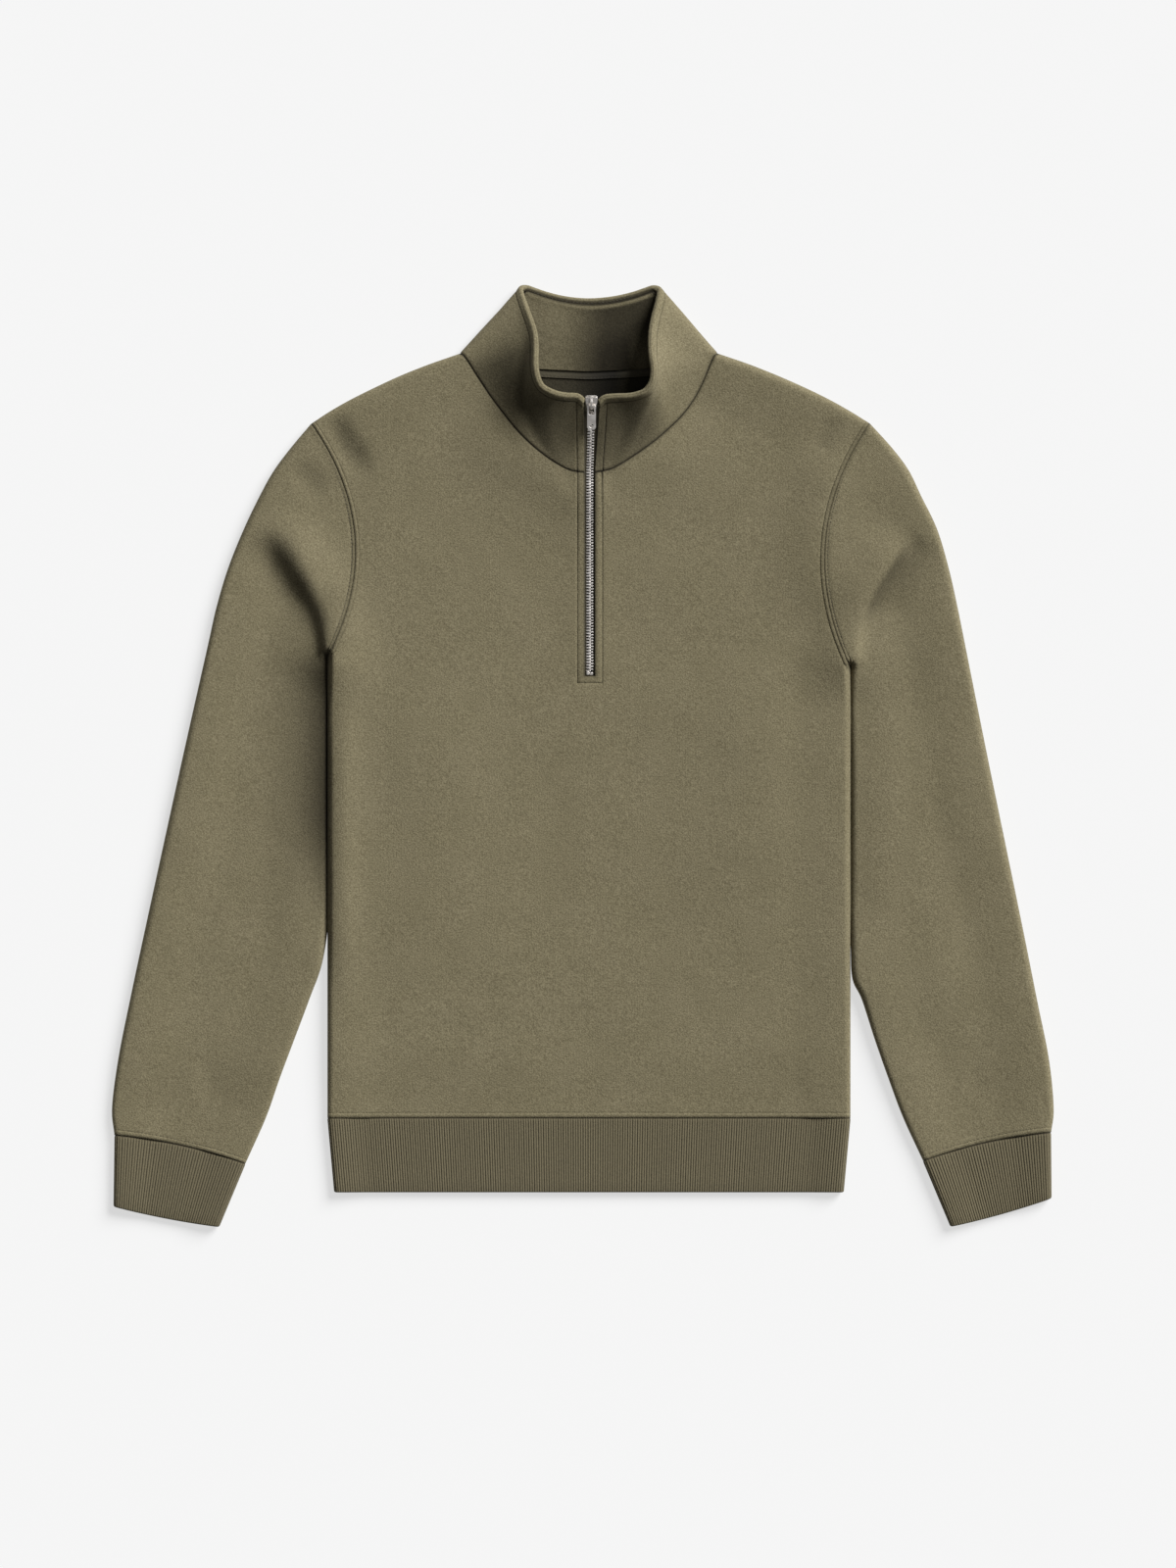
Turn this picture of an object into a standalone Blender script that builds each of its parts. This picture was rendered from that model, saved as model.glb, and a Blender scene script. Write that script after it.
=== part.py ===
"""A half zip sweatshirt laid on its back on a flat surface, with a stand collar, a short zip
and rib knit at the hem and the cuffs.

Sizes in the tables are millimetres. X runs to the right of someone who looks down on the front,
Y runs from the hem to the collar, and Z runs up from the surface. In the tables X is measured
from near the zip and Y from the hem's edge. An empty then carries every piece to its place, so
that the origin lies on the surface under the middle of the garment's box.
"""

import math
from collections import namedtuple

import bmesh
import bpy
import numpy as np

MM = 0.001
MIDDLE_X = -5.3             # the middle of the garment's box, in the tables' own X and Y
MIDDLE_Y = 365.6

WALL = 2.2                  # fleece of the body, the sleeves and the collar
RIB_WALL = 3.0              # rib knit, folded double
SEAM_GAP = 0.4              # between two pieces that are sewn together
NECK_GAP = 0.6              # the same, where the collar turns up from the neckline
NECK_CORNER_ROOM = 0.4      # and this much more where the front's neckline meets the shoulder
NECK_CORNER_SHARE = 0.16    # over this share of the front's neckline
FOLD_HALF = 6.0             # half of the thickness where the body or a sleeve folds over at its edge
RIB_FOLD_HALF = 4.6         # the same at the hem and the cuffs
DRAWN_IN = 60.0             # the rib's smaller thickness grows to the body's over this length
FOLD_EASE = 0.2             # a point this much further in than the wall's middle is still at the fold
FOLD_GAP = 1.0              # between the middles of the front and the back at the fold, as edges lean
LAYERED = 4.0               # height of the upper wall's middle where it lies on the lower wall
SETTLE = 40.0               # the way in from a fold over which the upper wall sinks to that height

UNDERARM_LIFT = 0.8         # the lower wall is off the surface where three seams meet
UNDERARM_REACH = 20.0

HEM_SEAM_Y = 62.3
SIDE_X = 218.9              # the body's side fold
HEM_EDGE_X = 213.2          # the hem draws in this far at its lower edge
ZIP_X = 0.65
SLIT_HALF = 4.6             # half of the opening in the front that shows the zip
SLIT_BOTTOM_Y = 431.7
NECK_Y = 601.6              # the collar seam at the zip
BACK_NECK_Y = 682.7
ARMHOLE_BOW = 28.7          # the armhole seam curves in to the body this far from a straight line
CUFF_BOW = 3.0

# How far up the armhole, from the underarm to the tip, the rows of the front and the back meet it.
UNDERARM_ROW = 0.655
ARMHOLE_ROWS = (0.0, 0.18, 0.30, 0.44, 0.58, 0.72, 0.86, 0.94, 0.974, 0.987, 0.9964, 1.0)

RIB_PITCH = 2.03
RIB_HEIGHT = 0.6
RIB_LAYERED = 6.6           # top of the upper rib layer where it lies on the lower one
RIB_SETTLE = 30.0
BAND_BELOW = 9              # points across a band's flat underside
RIM_ROUND = 1.2             # the folded lower edge of the rib is rounded over this length

COLLAR_TURN = 1.7           # half of the distance between the collar's outside and its facing
COLLAR_TAIL = 3.0           # the outside reaches this far down behind the rim
FACING_FOOT = 5.0           # the facing ends this far above the neck seam
FACING_FOLD_SHARE = 0.0195  # its fold inside the collar's side fold is sharper, over this share
FACING_FOLD_DROP = 6.4      # and its upper edge is this much lower there
FACING_DROP_SHARE = 0.06
COLLAR_ROWS = 7
# Corners of half a neckline, from the shoulder to the zip, shared by a panel and the collar.
NECK_SHARES = np.array([0.0, 0.02, 0.055, 0.11, 0.25, 0.40, 0.55, 0.70, 0.85, 1.0])
NECK_COLUMN = 0.46          # the neckline starts this far across half a panel

TAPE_WALL = 0.6
TAPE_GAP = 0.3              # between the cloth and the tape under it
TAPE_INNER = 3.3            # from the zip's middle to the tape's inner edge
TAPE_UNDER = 9.0            # how far the tape goes under the cloth beside the opening
TAPE_SHARE = 0.056          # the same as a share of the neckline from the zip to the shoulder
TAPE_BOTTOM_Y = 429.0
TAPE_SEAM_UP = 3.0          # the tape's corners next to the neck seam are this far from it
TAPE_TOP = 7.5              # the tape ends this far below the collar's rim, under the slider
CHAIN_HALF = 2.9
CHAIN_DEPTH = WALL / 2.0 + 0.25   # the teeth's middle is this far under the cloth's
CHAIN_WALL = 2.4
STOP_LENGTH = 2.8
NECK_TAPE_WIDTH = 9.0
NECK_TAPE_WALL = 0.8
NECK_TAPE_REACH = 84.0

ZIP_GAP = 0.3               # between the stop and the teeth
CHAIN_END = 1.6             # between the teeth and the slider
CHAIN_STEPS = 24
STOP_Y = SLIT_BOTTOM_Y + 0.9

SLIDER_Y = 659.7            # the slider's middle
SLIDER_RAISED = 0.6         # its middle is this much above the teeth's
SLIDER_LENGTH = 11.0
SLIDER_HALF = 5.0
SLIDER_DEPTH = 4.4
SLIDER_TAPER = 0.72         # its lower end is this much narrower
BRIDGE_LENGTH = 8.0
BRIDGE_WIDTH = 1.8
BRIDGE_HEIGHT = 3.0
BRIDGE_BAR = 1.0
BRIDGE_SUNK = 0.4           # its feet go this far into the slider's body
PULL_LENGTH = 21.0
PULL_WIDTH = 7.3
PULL_DEPTH = 1.3
PULL_SLOT_LENGTH = 7.0
PULL_SLOT_WIDTH = 4.2
PULL_HOLE_RADIUS = 1.0
PULL_HOLE_SIDES = 16
PULL_HOLE_UP = 3.2          # the hole's middle is this far from the tab's end
PULL_TOP_BAR = 1.0          # the tab's bar in the bridge, whose middle is the hinge
PULL_REST = math.radians(11.0)   # the tab leans this much into the slider's own plane at its end
METAL_EDGE = 0.2
HINGE_Y = -1.6              # the hinge in the slider's axes
HINGE_HEIGHT = SLIDER_DEPTH / 2.0 + BRIDGE_HEIGHT - BRIDGE_BAR - 1.0

Side = namedtuple("Side", "name sign shoulder neck underarm_y outer inner cuff_edge")

# Plan points of each side's outline: shoulder from the neck to the tip, neck from the shoulder
# to the zip, outer and inner edge of the sleeve from the armhole to the cuff's seam, and the
# outer and inner corner of the cuff's lower edge.
LEFT = Side(
    name="left",
    sign=-1,
    shoulder=((-107.8, 701.5), (-133.7, 692.5), (-158.3, 682.7), (-179.6, 672.8),
              (-199.3, 663.0), (-216.5, 653.2), (-232.1, 642.9)),
    neck=((-103.8, 697.5), (-92.5, 680.2), (-83.1, 666.0), (-71.8, 650.9), (-60.4, 636.8),
          (-49.2, 625.5), (-37.9, 616.2), (-26.6, 608.6), (-15.5, 603.2)),
    underarm_y=449.0,
    outer=((-232.1, 642.9), (-248.5, 623.6), (-263.2, 604.0), (-275.0, 583.0), (-288.6, 554.7),
           (-301.8, 521.9), (-311.6, 489.1), (-319.0, 456.3), (-341.1, 357.9), (-369.8, 226.7),
           (-383.8, 161.1), (-393.6, 111.9), (-398.9, 70.9), (-396.9, 48.0)),
    inner=((-218.9, 449.0), (-218.9, 380.0), (-218.9, 300.0), (-218.9, 235.0), (-222.4, 194.0),
           (-233.7, 161.1), (-246.0, 128.3), (-258.3, 95.5), (-269.8, 62.7), (-287.0, 24.2)),
    cuff_edge=((-397.7, -11.9), (-309.1, -29.0)),
)
RIGHT = Side(
    name="right",
    sign=1,
    shoulder=((107.8, 701.5), (134.0, 692.5), (158.6, 682.7), (181.0, 672.8),
              (201.0, 663.0), (218.5, 653.2), (234.5, 643.3)),
    neck=((104.2, 697.5), (93.6, 673.5), (86.1, 660.3), (77.6, 649.0), (66.3, 637.8),
          (53.1, 626.5), (36.2, 614.6), (22.1, 606.0), (15.0, 603.4)),
    underarm_y=440.0,
    outer=((234.5, 643.3), (252.6, 623.6), (267.3, 604.0), (277.5, 583.0), (291.1, 554.7),
           (300.9, 521.9), (308.3, 489.1), (314.9, 456.3), (334.6, 357.9), (361.6, 226.7),
           (374.7, 161.1), (384.6, 111.9), (388.7, 70.9), (386.6, 50.4)),
    inner=((218.9, 440.0), (218.9, 370.0), (218.9, 290.0), (218.9, 215.0), (219.8, 180.0),
           (228.0, 161.1), (238.6, 128.3), (250.1, 95.5), (262.4, 62.7), (279.0, 26.7)),
    cuff_edge=((387.0, -4.9), (302.2, -28.8)),
)
SIDES = (LEFT, RIGHT)

# Soft swells of the upper wall: height, how wide it fades, and its line in plan.
Swell = namedtuple("Swell", "height width path")
SWELLS = (
    Swell(1.4, 20.0, ((ZIP_X, 425.0), (ZIP_X, 600.0))),
    Swell(7.0, 30.0, ((-84.0, 668.0), (-60.0, 637.0), (-38.0, 617.0), (0.0, 602.0),
                      (38.0, 616.0), (62.0, 634.0), (86.0, 660.0))),
    Swell(7.0, 17.0, ((-262.0, 580.0), (-249.0, 552.0), (-234.0, 524.0), (-218.0, 500.0))),
    Swell(5.0, 17.0, ((258.0, 566.0), (245.0, 542.0), (232.0, 516.0), (222.0, 494.0))),
)

# The collar, a row for each section round the neck: at is the section's place on the neckline
# (0 to 1 from the zip to the left shoulder, 1 to 2 across the back, 2 to 3 back to the zip),
# then the crest of the rim.
Station = namedtuple("Station", "at rim_x rim_y rim_z")
STATIONS = (
    Station(0.00, -4.6, 661.5, 31.0),
    Station(0.09, -9.4, 666.3, 32.5),
    Station(0.24, -18.4, 666.6, 34.5),
    Station(0.41, -28.8, 668.3, 37.0),
    Station(0.54, -37.8, 672.4, 39.0),
    Station(0.66, -42.0, 679.3, 40.0),
    Station(0.77, -43.8, 691.5, 38.0),
    Station(0.87, -43.4, 707.1, 32.0),
    Station(0.93, -44.6, 720.9, 26.0),
    Station(0.96, -48.6, 733.6, 20.5),
    Station(0.985, -53.2, 746.5, 14.5),
    Station(1.00, -56.2, 757.0, 8.0),
    Station(1.02, -52.0, 759.0, 3.2),
    Station(1.05, -44.5, 756.4, 1.2),
    Station(1.14, -34.5, 753.0, 1.1),
    Station(1.30, -19.0, 749.4, 1.1),
    Station(1.50, 0.0, 747.8, 1.1),
    Station(1.70, 19.5, 749.4, 1.1),
    Station(1.86, 36.0, 753.0, 1.1),
    Station(1.95, 46.0, 756.4, 1.2),
    Station(1.98, 53.5, 759.0, 3.2),
    Station(2.00, 58.2, 757.0, 8.0),
    Station(2.015, 57.2, 748.5, 14.0),
    Station(2.04, 53.2, 733.0, 21.0),
    Station(2.08, 50.9, 719.0, 27.0),
    Station(2.14, 50.9, 703.0, 33.5),
    Station(2.24, 53.0, 689.0, 38.5),
    Station(2.36, 52.3, 677.5, 40.0),
    Station(2.48, 46.8, 669.2, 39.0),
    Station(2.62, 36.0, 666.0, 36.5),
    Station(2.80, 22.0, 665.9, 33.5),
    Station(2.92, 13.6, 665.2, 32.0),
    Station(3.00, 9.2, 661.5, 31.0),
)


def clear_scene():
    for old in list(bpy.data.objects):
        bpy.data.objects.remove(old, do_unlink=True)


def smoothstep(share):
    share = np.clip(share, 0.0, 1.0)
    return share * share * (3.0 - 2.0 * share)


def curve(points, steps=10):
    """A smooth path through a table's points."""
    points = np.array(points, float)
    first = 2.0 * points[0] - points[1]
    last = 2.0 * points[-1] - points[-2]
    padded = np.vstack([first, points, last])
    share = np.linspace(0.0, 1.0, steps, endpoint=False)[:, None]
    pieces = []
    for a, b, c, d in zip(padded, padded[1:], padded[2:], padded[3:]):
        bend = (2.0 * a - 5.0 * b + 4.0 * c - d) * share**2 + (3.0 * b - a - 3.0 * c + d) * share**3
        pieces.append(0.5 * (2.0 * b + (c - a) * share + bend))
    pieces.append(points[-1:])
    return np.vstack(pieces)


def along(path, shares):
    """Points of a path at the given shares of its length."""
    steps = np.linalg.norm(np.diff(path, axis=0), axis=1)
    length = np.concatenate([[0.0], np.cumsum(steps)])
    places = np.asarray(shares) * length[-1]
    return np.stack([np.interp(places, length, column) for column in path.T], axis=-1)


def path_shares(path):
    """The share of a path's length at each of its points."""
    length = np.concatenate([[0.0], np.cumsum(np.linalg.norm(np.diff(path, axis=0), axis=1))])
    return length / length[-1]


def path_length(path):
    return float(np.linalg.norm(np.diff(path, axis=0), axis=1).sum())


def moved_left(path, distance):
    """The path moved to its own left in plan."""
    step = np.gradient(path, axis=0)
    step = step / np.linalg.norm(step, axis=1)[:, None]
    return path + distance * np.stack([-step[:, 1], step[:, 0]], axis=1)


def distance_to(path, points):
    """The least distance in plan from each point to the path."""
    start = path[:-1]
    step = np.diff(path, axis=0)
    offset = points[..., None, :2] - start
    share = np.clip((offset * step).sum(-1) / (step**2).sum(-1), 0.0, 1.0)
    return np.linalg.norm(offset - share[..., None] * step, axis=-1).min(-1)


def fold_paths():
    """The lines in plan where the cloth folds over: each side's outline and the body's side."""
    paths = []
    for side in SIDES:
        outline = side.shoulder[:-1] + side.outer
        paths.append(curve(outline))
        paths.append(curve(side.inner))
        paths.append(np.array([(side.sign * SIDE_X, HEM_SEAM_Y - 5.0),
                               (side.sign * SIDE_X, side.underarm_y)]))
    return paths


FOLDS = fold_paths()
SWELL_PATHS = [curve(swell.path) for swell in SWELLS]


def half_thickness(points):
    """Half of the thickness at a fold, which the rib draws in towards the hem and the cuffs."""
    share = smoothstep((points[..., 1] - HEM_SEAM_Y) / DRAWN_IN)
    return RIB_FOLD_HALF + (FOLD_HALF - RIB_FOLD_HALF) * share


def heights(points):
    """Heights of the upper and of the lower wall's middle over points in plan."""
    depth = np.min([distance_to(path, points) for path in FOLDS], axis=0)
    half = half_thickness(points)
    rise = half - WALL / 2.0
    share = np.clip((depth - WALL / 2.0 - FOLD_EASE) / rise, 0.0, 1.0)
    round_share = np.sqrt(1.0 - (1.0 - share) ** 2)
    lower = half - FOLD_GAP / 2.0 - (rise - FOLD_GAP / 2.0) * round_share
    for side in SIDES:
        away = np.linalg.norm(points[..., :2] - (side.sign * SIDE_X, side.underarm_y), axis=-1)
        lower = lower + UNDERARM_LIFT * round_share * np.exp(-((away / UNDERARM_REACH) ** 2))
    crown = half + FOLD_GAP / 2.0 + (rise - FOLD_GAP / 2.0) * round_share
    sink = (2.0 * half - WALL / 2.0 - LAYERED) * smoothstep((depth - half) / SETTLE)
    swell = sum(row.height * np.exp(-((distance_to(path, points) / row.width) ** 2))
                for row, path in zip(SWELLS, SWELL_PATHS))
    return crown - sink + swell * round_share, lower


def armhole(side, shares, gap=0.0):
    """The armhole seam in plan, from the shoulder's tip to the underarm, moved out by a gap."""
    tip = shoulder_path(side)[-1]
    underarm = np.array([side.sign * (SIDE_X - WALL / 2.0 - SEAM_GAP / 2.0), side.underarm_y])
    chord = underarm - tip
    inward = np.array([chord[1], -chord[0]]) * side.sign / np.linalg.norm(chord)
    shares = np.asarray(shares)[:, None]
    bow = ARMHOLE_BOW * 4.0 * shares * (1.0 - shares)
    wider = 1.0 + 2.5 * smoothstep((shares - 0.6) / 0.25)
    return tip + chord * shares + inward * (bow - gap * wider)


def shoulder_path(side):
    """The shoulder fold's middle line in plan, from the neck to the tip."""
    return moved_left(curve(side.shoulder), -side.sign * WALL / 2.0)


def neck_path(side, points):
    """A neckline in plan, from the shoulder to the zip."""
    return curve(np.vstack([shoulder_path(side)[0], points]))


def front_neck(side):
    end = (ZIP_X + side.sign * SLIT_HALF, NECK_Y)
    return neck_path(side, side.neck + (end,))


def back_neck(side):
    inner = ((side.sign * 99.0, 697.2), (side.sign * 80.0, 690.6), (side.sign * 50.0, 685.4))
    end = (ZIP_X + side.sign * SLIT_HALF, BACK_NECK_Y)
    return neck_path(side, inner + (end,))


def panel_rows():
    """Places of the panels' rows up the zip line, from the hem: the slit's lower end is one."""
    zip_foot = HEM_SEAM_Y + SEAM_GAP / 2.0
    slit = (SLIT_BOTTOM_Y - zip_foot) / (NECK_Y - zip_foot)
    upper = UNDERARM_ROW + (1.0 - UNDERARM_ROW) * np.array(ARMHOLE_ROWS)
    rows = np.concatenate([np.linspace(0.0, UNDERARM_ROW, 9)[:-1], upper, [slit]])
    rows.sort()
    return rows, int(np.searchsorted(rows, slit))


def armhole_shares():
    """Where those rows meet the armhole, as shares of it from the shoulder's tip down."""
    rows = panel_rows()[0]
    return 1.0 - (rows[rows >= UNDERARM_ROW][::-1] - UNDERARM_ROW) / (1.0 - UNDERARM_ROW)


def panel_half(side, neck):
    """Half of the front or back: plan points, from the side to the zip and the hem up."""
    rows = panel_rows()[0]
    edge_x = side.sign * (SIDE_X - WALL / 2.0 - SEAM_GAP / 2.0)
    zip_x = ZIP_X + side.sign * SLIT_HALF
    hem_y = HEM_SEAM_Y + SEAM_GAP / 2.0
    below = rows[rows < UNDERARM_ROW] / UNDERARM_ROW
    side_y = hem_y + (side.underarm_y - hem_y) * below
    near = np.vstack([np.column_stack([np.full(len(below), edge_x), side_y]),
                      armhole(side, armhole_shares()[::-1])])
    far = np.column_stack([np.full(len(rows), zip_x), hem_y + (neck[-1, 1] - hem_y) * rows])
    shoulder = shoulder_path(side)[::-1]
    across = np.array([0.0, 0.7, 2.5, 5.0, 12.0, 24.0, 44.0, 70.0])
    edge_columns = across / abs(zip_x - edge_x)
    top = np.vstack([along(shoulder, edge_columns / NECK_COLUMN), along(neck, NECK_SHARES)])
    columns = np.concatenate([edge_columns, NECK_COLUMN + (1.0 - NECK_COLUMN) * NECK_SHARES])
    low = np.column_stack([edge_x + (zip_x - edge_x) * columns, np.full(len(columns), hem_y)])
    u = columns[None, :, None]
    v = rows[:, None, None]
    blend = (1.0 - v) * low + v * top + (1.0 - u) * near[:, None] + u * far[:, None]
    corners = ((1.0 - u) * ((1.0 - v) * low[0] + v * top[0])
               + u * ((1.0 - v) * low[-1] + v * top[-1]))
    return blend - corners


def add_panel(name, neck, slit_row, layer, material):
    """The front or the back: two halves joined by a narrow strip up to the slit's lower end."""
    left, right = (panel_half(side, neck(side)) for side in SIDES)
    plan = np.concatenate([left, right[:, ::-1]], axis=1)
    points = np.concatenate([plan, heights(plan)[layer][..., None]], axis=2)
    strip = left.shape[1] - 1
    shell = bmesh.new()
    add_grid(shell, points, open_from=(slit_row, strip))
    return add_piece(name, shell, material, WALL)


def sleeve_points(side):
    """Rings of the sleeve's wall, from the armhole to the cuff: over the top, then back below."""
    rows = np.concatenate([[0.0, 0.012, 0.03, 0.06, 0.1, 0.15], np.linspace(0.21, 1.0, 13)])
    outer = along(moved_left(curve(side.outer), -side.sign * WALL / 2.0), rows)
    inset = WALL / 2.0 + SEAM_GAP / 2.0
    inner = along(moved_left(curve(side.inner), side.sign * inset), rows)
    shares = armhole_shares()
    seam = armhole(side, shares, SEAM_GAP)
    under = np.array([5.0, 2.5, 0.7])
    head = np.concatenate([shares[:-1], 1.0 - under / path_length(seam), shares[-1:]])
    seam = along(seam, np.interp(head, shares, path_shares(seam)))
    rings = []
    for row, start, end in zip(rows, outer, inner):
        chord = end - start
        width = np.linalg.norm(chord)
        up = np.array([chord[1], -chord[0]]) * side.sign / width
        first = np.array([0.0, 0.7, 2.5, 5.0, 12.0, 24.0]) / width
        last = 1.0 - np.array([16.0, 5.0, 2.5, 0.7, 0.0]) / width
        middle = np.linspace(first[-1], last[0], len(head) - len(first) - len(last) + 2)[1:-1]
        even = np.concatenate([first, middle, last])
        across = head + (even - head) * smoothstep(row / 0.15)
        fade = 1.0 - np.clip(row / (0.46 * (1.0 - across) + 1e-6), 0.0, 1.0)
        bow = 4.0 * across * (1.0 - across) * (ARMHOLE_BOW * fade**1.5
                                               - CUFF_BOW * smoothstep((row - 0.8) / 0.2))
        plan = start + chord * across[:, None] + up * bow[:, None]
        if row == 0.0:
            shift = smoothstep((head - 0.9) / 0.1)[:, None]
            plan = seam + shift * (end - seam[-1])
        upper, lower = heights(plan)
        half = half_thickness(plan)
        upper[[0, -1]] = half[[0, -1]]
        top = np.column_stack([plan, upper])
        below = np.column_stack([plan, lower])[-2:0:-1]
        rings.append(np.vstack([top, below]))
    return np.array(rings)


def add_sleeve(side, material):
    shell = bmesh.new()
    add_grid(shell, sleeve_points(side), ring=True)
    return add_piece("sleeve_" + side.name, shell, material, WALL)


def rib_section(half_width, ribs):
    """A rib band's outer section: place across, height, way out, and 1 or 0 for ridge or furrow."""
    radius = RIB_FOLD_HALF
    turn = math.pi / 2.0 * radius
    total = 2.0 * turn + 2.0 * (half_width - radius)
    rows = []
    for index in range(2 * ribs + 1):
        place = total * index / (2 * ribs)
        near = min(place, total - place)
        side = -1.0 if place < total / 2.0 else 1.0
        if near < turn:
            angle = near / radius
            rows.append((side * (half_width - radius * (1.0 - math.cos(angle))),
                         radius + radius * math.sin(angle),
                         side * math.cos(angle), math.sin(angle), index % 2))
        else:
            deep = near - turn
            sink = (2.0 * radius - RIB_LAYERED) * float(smoothstep(deep / RIB_SETTLE))
            rows.append((side * (half_width - radius - deep), 2.0 * radius - sink, 0.0, 1.0, index % 2))
    for side, angles in ((1.0, (30.0, 60.0, 90.0)), (-1.0, (90.0, 60.0, 30.0))):
        for lean in np.radians(angles):
            rows.append((side * (half_width - radius * (1.0 - math.cos(lean))),
                         radius - radius * math.sin(lean), side * math.cos(lean), -math.sin(lean), 1))
        if side > 0.0:
            flat = np.linspace(half_width - radius, radius - half_width, BAND_BELOW)[1:-1]
            rows.extend((across, 0.0, 0.0, -1.0, 1) for across in flat)
    return np.array(rows)


def band_ring(section, start, end, half_width, bow, out, lift):
    """A ring of a rib band in space: the section laid between two plan points."""
    across = section[:, 0] + section[:, 2] * lift
    height = section[:, 1] + section[:, 3] * lift
    share = (across / half_width + 1.0) / 2.0
    plan = start + (end - start) * share[:, None] + out * (4.0 * bow * share * (1.0 - share))[:, None]
    return np.column_stack([plan, height])


def add_rib_band(name, seam, edge, bow, material):
    """A cuff or the hem: rib knit, folded double, with ridges on what shows from above."""
    seam, edge = np.array(seam), np.array(edge)
    mean_width = (np.linalg.norm(seam[1] - seam[0]) + np.linalg.norm(edge[1] - edge[0])) / 2.0
    ribs = round(mean_width / RIB_PITCH)
    drop = (edge.sum(axis=0) - seam.sum(axis=0)) / 2.0
    length = np.linalg.norm(drop)
    out = drop / length
    rings = []
    folded = 1.0 - RIM_ROUND / length
    for share, wall, ridged in ((0.0, 0.0, 1), (folded, 0.0, 1), (1.0, 0.5, 0), (folded, 1.0, 0),
                                (0.0, 1.0, 0)):
        start, end = seam + (edge - seam) * share
        half_width = np.linalg.norm(end - start) / 2.0
        section = rib_section(half_width, ribs)
        lift = ridged * RIB_HEIGHT * (section[:, 4] - 1.0) - wall * RIB_WALL
        rings.append(band_ring(section, start, end, half_width, bow, out, lift))
    rings.append(rings[0])
    shell = bmesh.new()
    add_grid(shell, np.array(rings), ring=True)
    bmesh.ops.remove_doubles(shell, verts=shell.verts, dist=1e-7)
    return add_piece(name, shell, material)


def neck_ring():
    """The collar's lower edge in plan in three stretches: left front, back and right front."""
    room = NECK_GAP + NECK_CORNER_ROOM * (1.0 - smoothstep(NECK_SHARES / NECK_CORNER_SHARE))[:, None]
    left, right = (moved_left(along(front_neck(side), NECK_SHARES), side.sign * -room)
                   for side in SIDES)
    halves = [along(back_neck(side), NECK_SHARES) for side in SIDES]
    back = moved_left(np.vstack([halves[0], halves[1][::-1]]), NECK_GAP)
    back[0] = left[0] = (back[0] + left[0]) / 2.0
    back[-1] = right[0] = (back[-1] + right[0]) / 2.0
    return left[::-1], back, right


def collar_places():
    """Places of the collar's sections: every corner of the neckline, and more at the side folds."""
    extra = ((TAPE_SHARE, 0.92, 0.965, 0.991), (0.004, 0.018, 0.982, 0.996),
             (0.009, 0.035, 0.08, 1.0 - TAPE_SHARE))
    places = [index + np.concatenate([path_shares(stretch), more])
              for index, (stretch, more) in enumerate(zip(neck_ring(), extra))]
    return np.unique(np.concatenate(places).round(6))


def collar_points(places):
    """Lower edge and rim crest of the collar at the given places."""
    table = curve(STATIONS)
    order = np.maximum.accumulate(table[:, 0])
    rim = np.stack([np.interp(places, order, column) for column in table[:, 1:].T], axis=-1)
    stretches = neck_ring()
    seam = np.zeros((len(places), 3))
    for index, place in enumerate(places):
        stretch = min(int(place), len(stretches) - 1)
        seam[index, :2] = along(stretches[stretch], [place - stretch])[0]
        upper, lower = heights(seam[index, :2])
        seam[index, 2] = lower if stretch == 1 else upper
        if place in (1.0, 2.0):
            seam[index, 2] = FOLD_HALF
    return seam, rim


def collar_surface(places, start, end, rows):
    """The middle of the collar's outer wall, rows by stations: from a length above its seam to a
    length below the turn at its rim."""
    seam, rim = collar_points(places)
    reach = rim - seam
    inset = COLLAR_TURN + WALL / 2.0
    top = rim - reach * (inset / np.linalg.norm(reach, axis=1))[:, None]
    reach = top - seam
    first = seam + reach * np.array([0.4, 0.4, 0.14])
    second = seam + reach * np.array([0.82, 0.82, 0.5])
    v = np.linspace(0.0, 1.0, 25)[:, None, None]
    fine = ((1.0 - v) ** 3 * seam + 3.0 * (1.0 - v) ** 2 * v * first
            + 3.0 * (1.0 - v) * v**2 * second + v**3 * top)
    surface = []
    for column, below in zip(fine.transpose(1, 0, 2), end + np.zeros(len(places))):
        length = path_length(column)
        surface.append(along(column, np.linspace(start / length, 1.0 - below / length, rows)))
    return np.array(surface).transpose(1, 0, 2)


def unit(vectors):
    return vectors / np.linalg.norm(vectors, axis=-1, keepdims=True)


def inward_of(surface):
    """The way from the collar's outside to its inside at each point, longer where the surface
    turns round a fold, so that a layer moved along it keeps its distance."""
    step = unit(np.diff(surface, axis=1))
    before = np.concatenate([step[:, :1], step], axis=1)
    after = np.concatenate([step, step[:, -1:]], axis=1)
    turn = np.clip(np.linalg.norm(before + after, axis=2, keepdims=True) / 2.0, 0.8, 1.0)
    return unit(np.cross(before + after, np.gradient(surface, axis=0))) / turn


def add_collar(material):
    """The collar's outside, which turns over at the rim and ends just behind it."""
    surface = collar_surface(collar_places(), 0.0, 0.0, COLLAR_ROWS)
    inward = inward_of(surface)[-1]
    up = unit(surface[-1] - surface[-2])
    turned = []
    for angle in (50.0, 90.0, 130.0, 180.0):
        lean = math.radians(angle)
        turned.append(surface[-1] + COLLAR_TURN * (inward * (1.0 - math.cos(lean)) + up * math.sin(lean)))
    turned.append(turned[-1] - up * COLLAR_TAIL)
    shell = bmesh.new()
    add_grid(shell, np.concatenate([surface, turned]))
    return add_piece("collar", shell, material, WALL)


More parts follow.
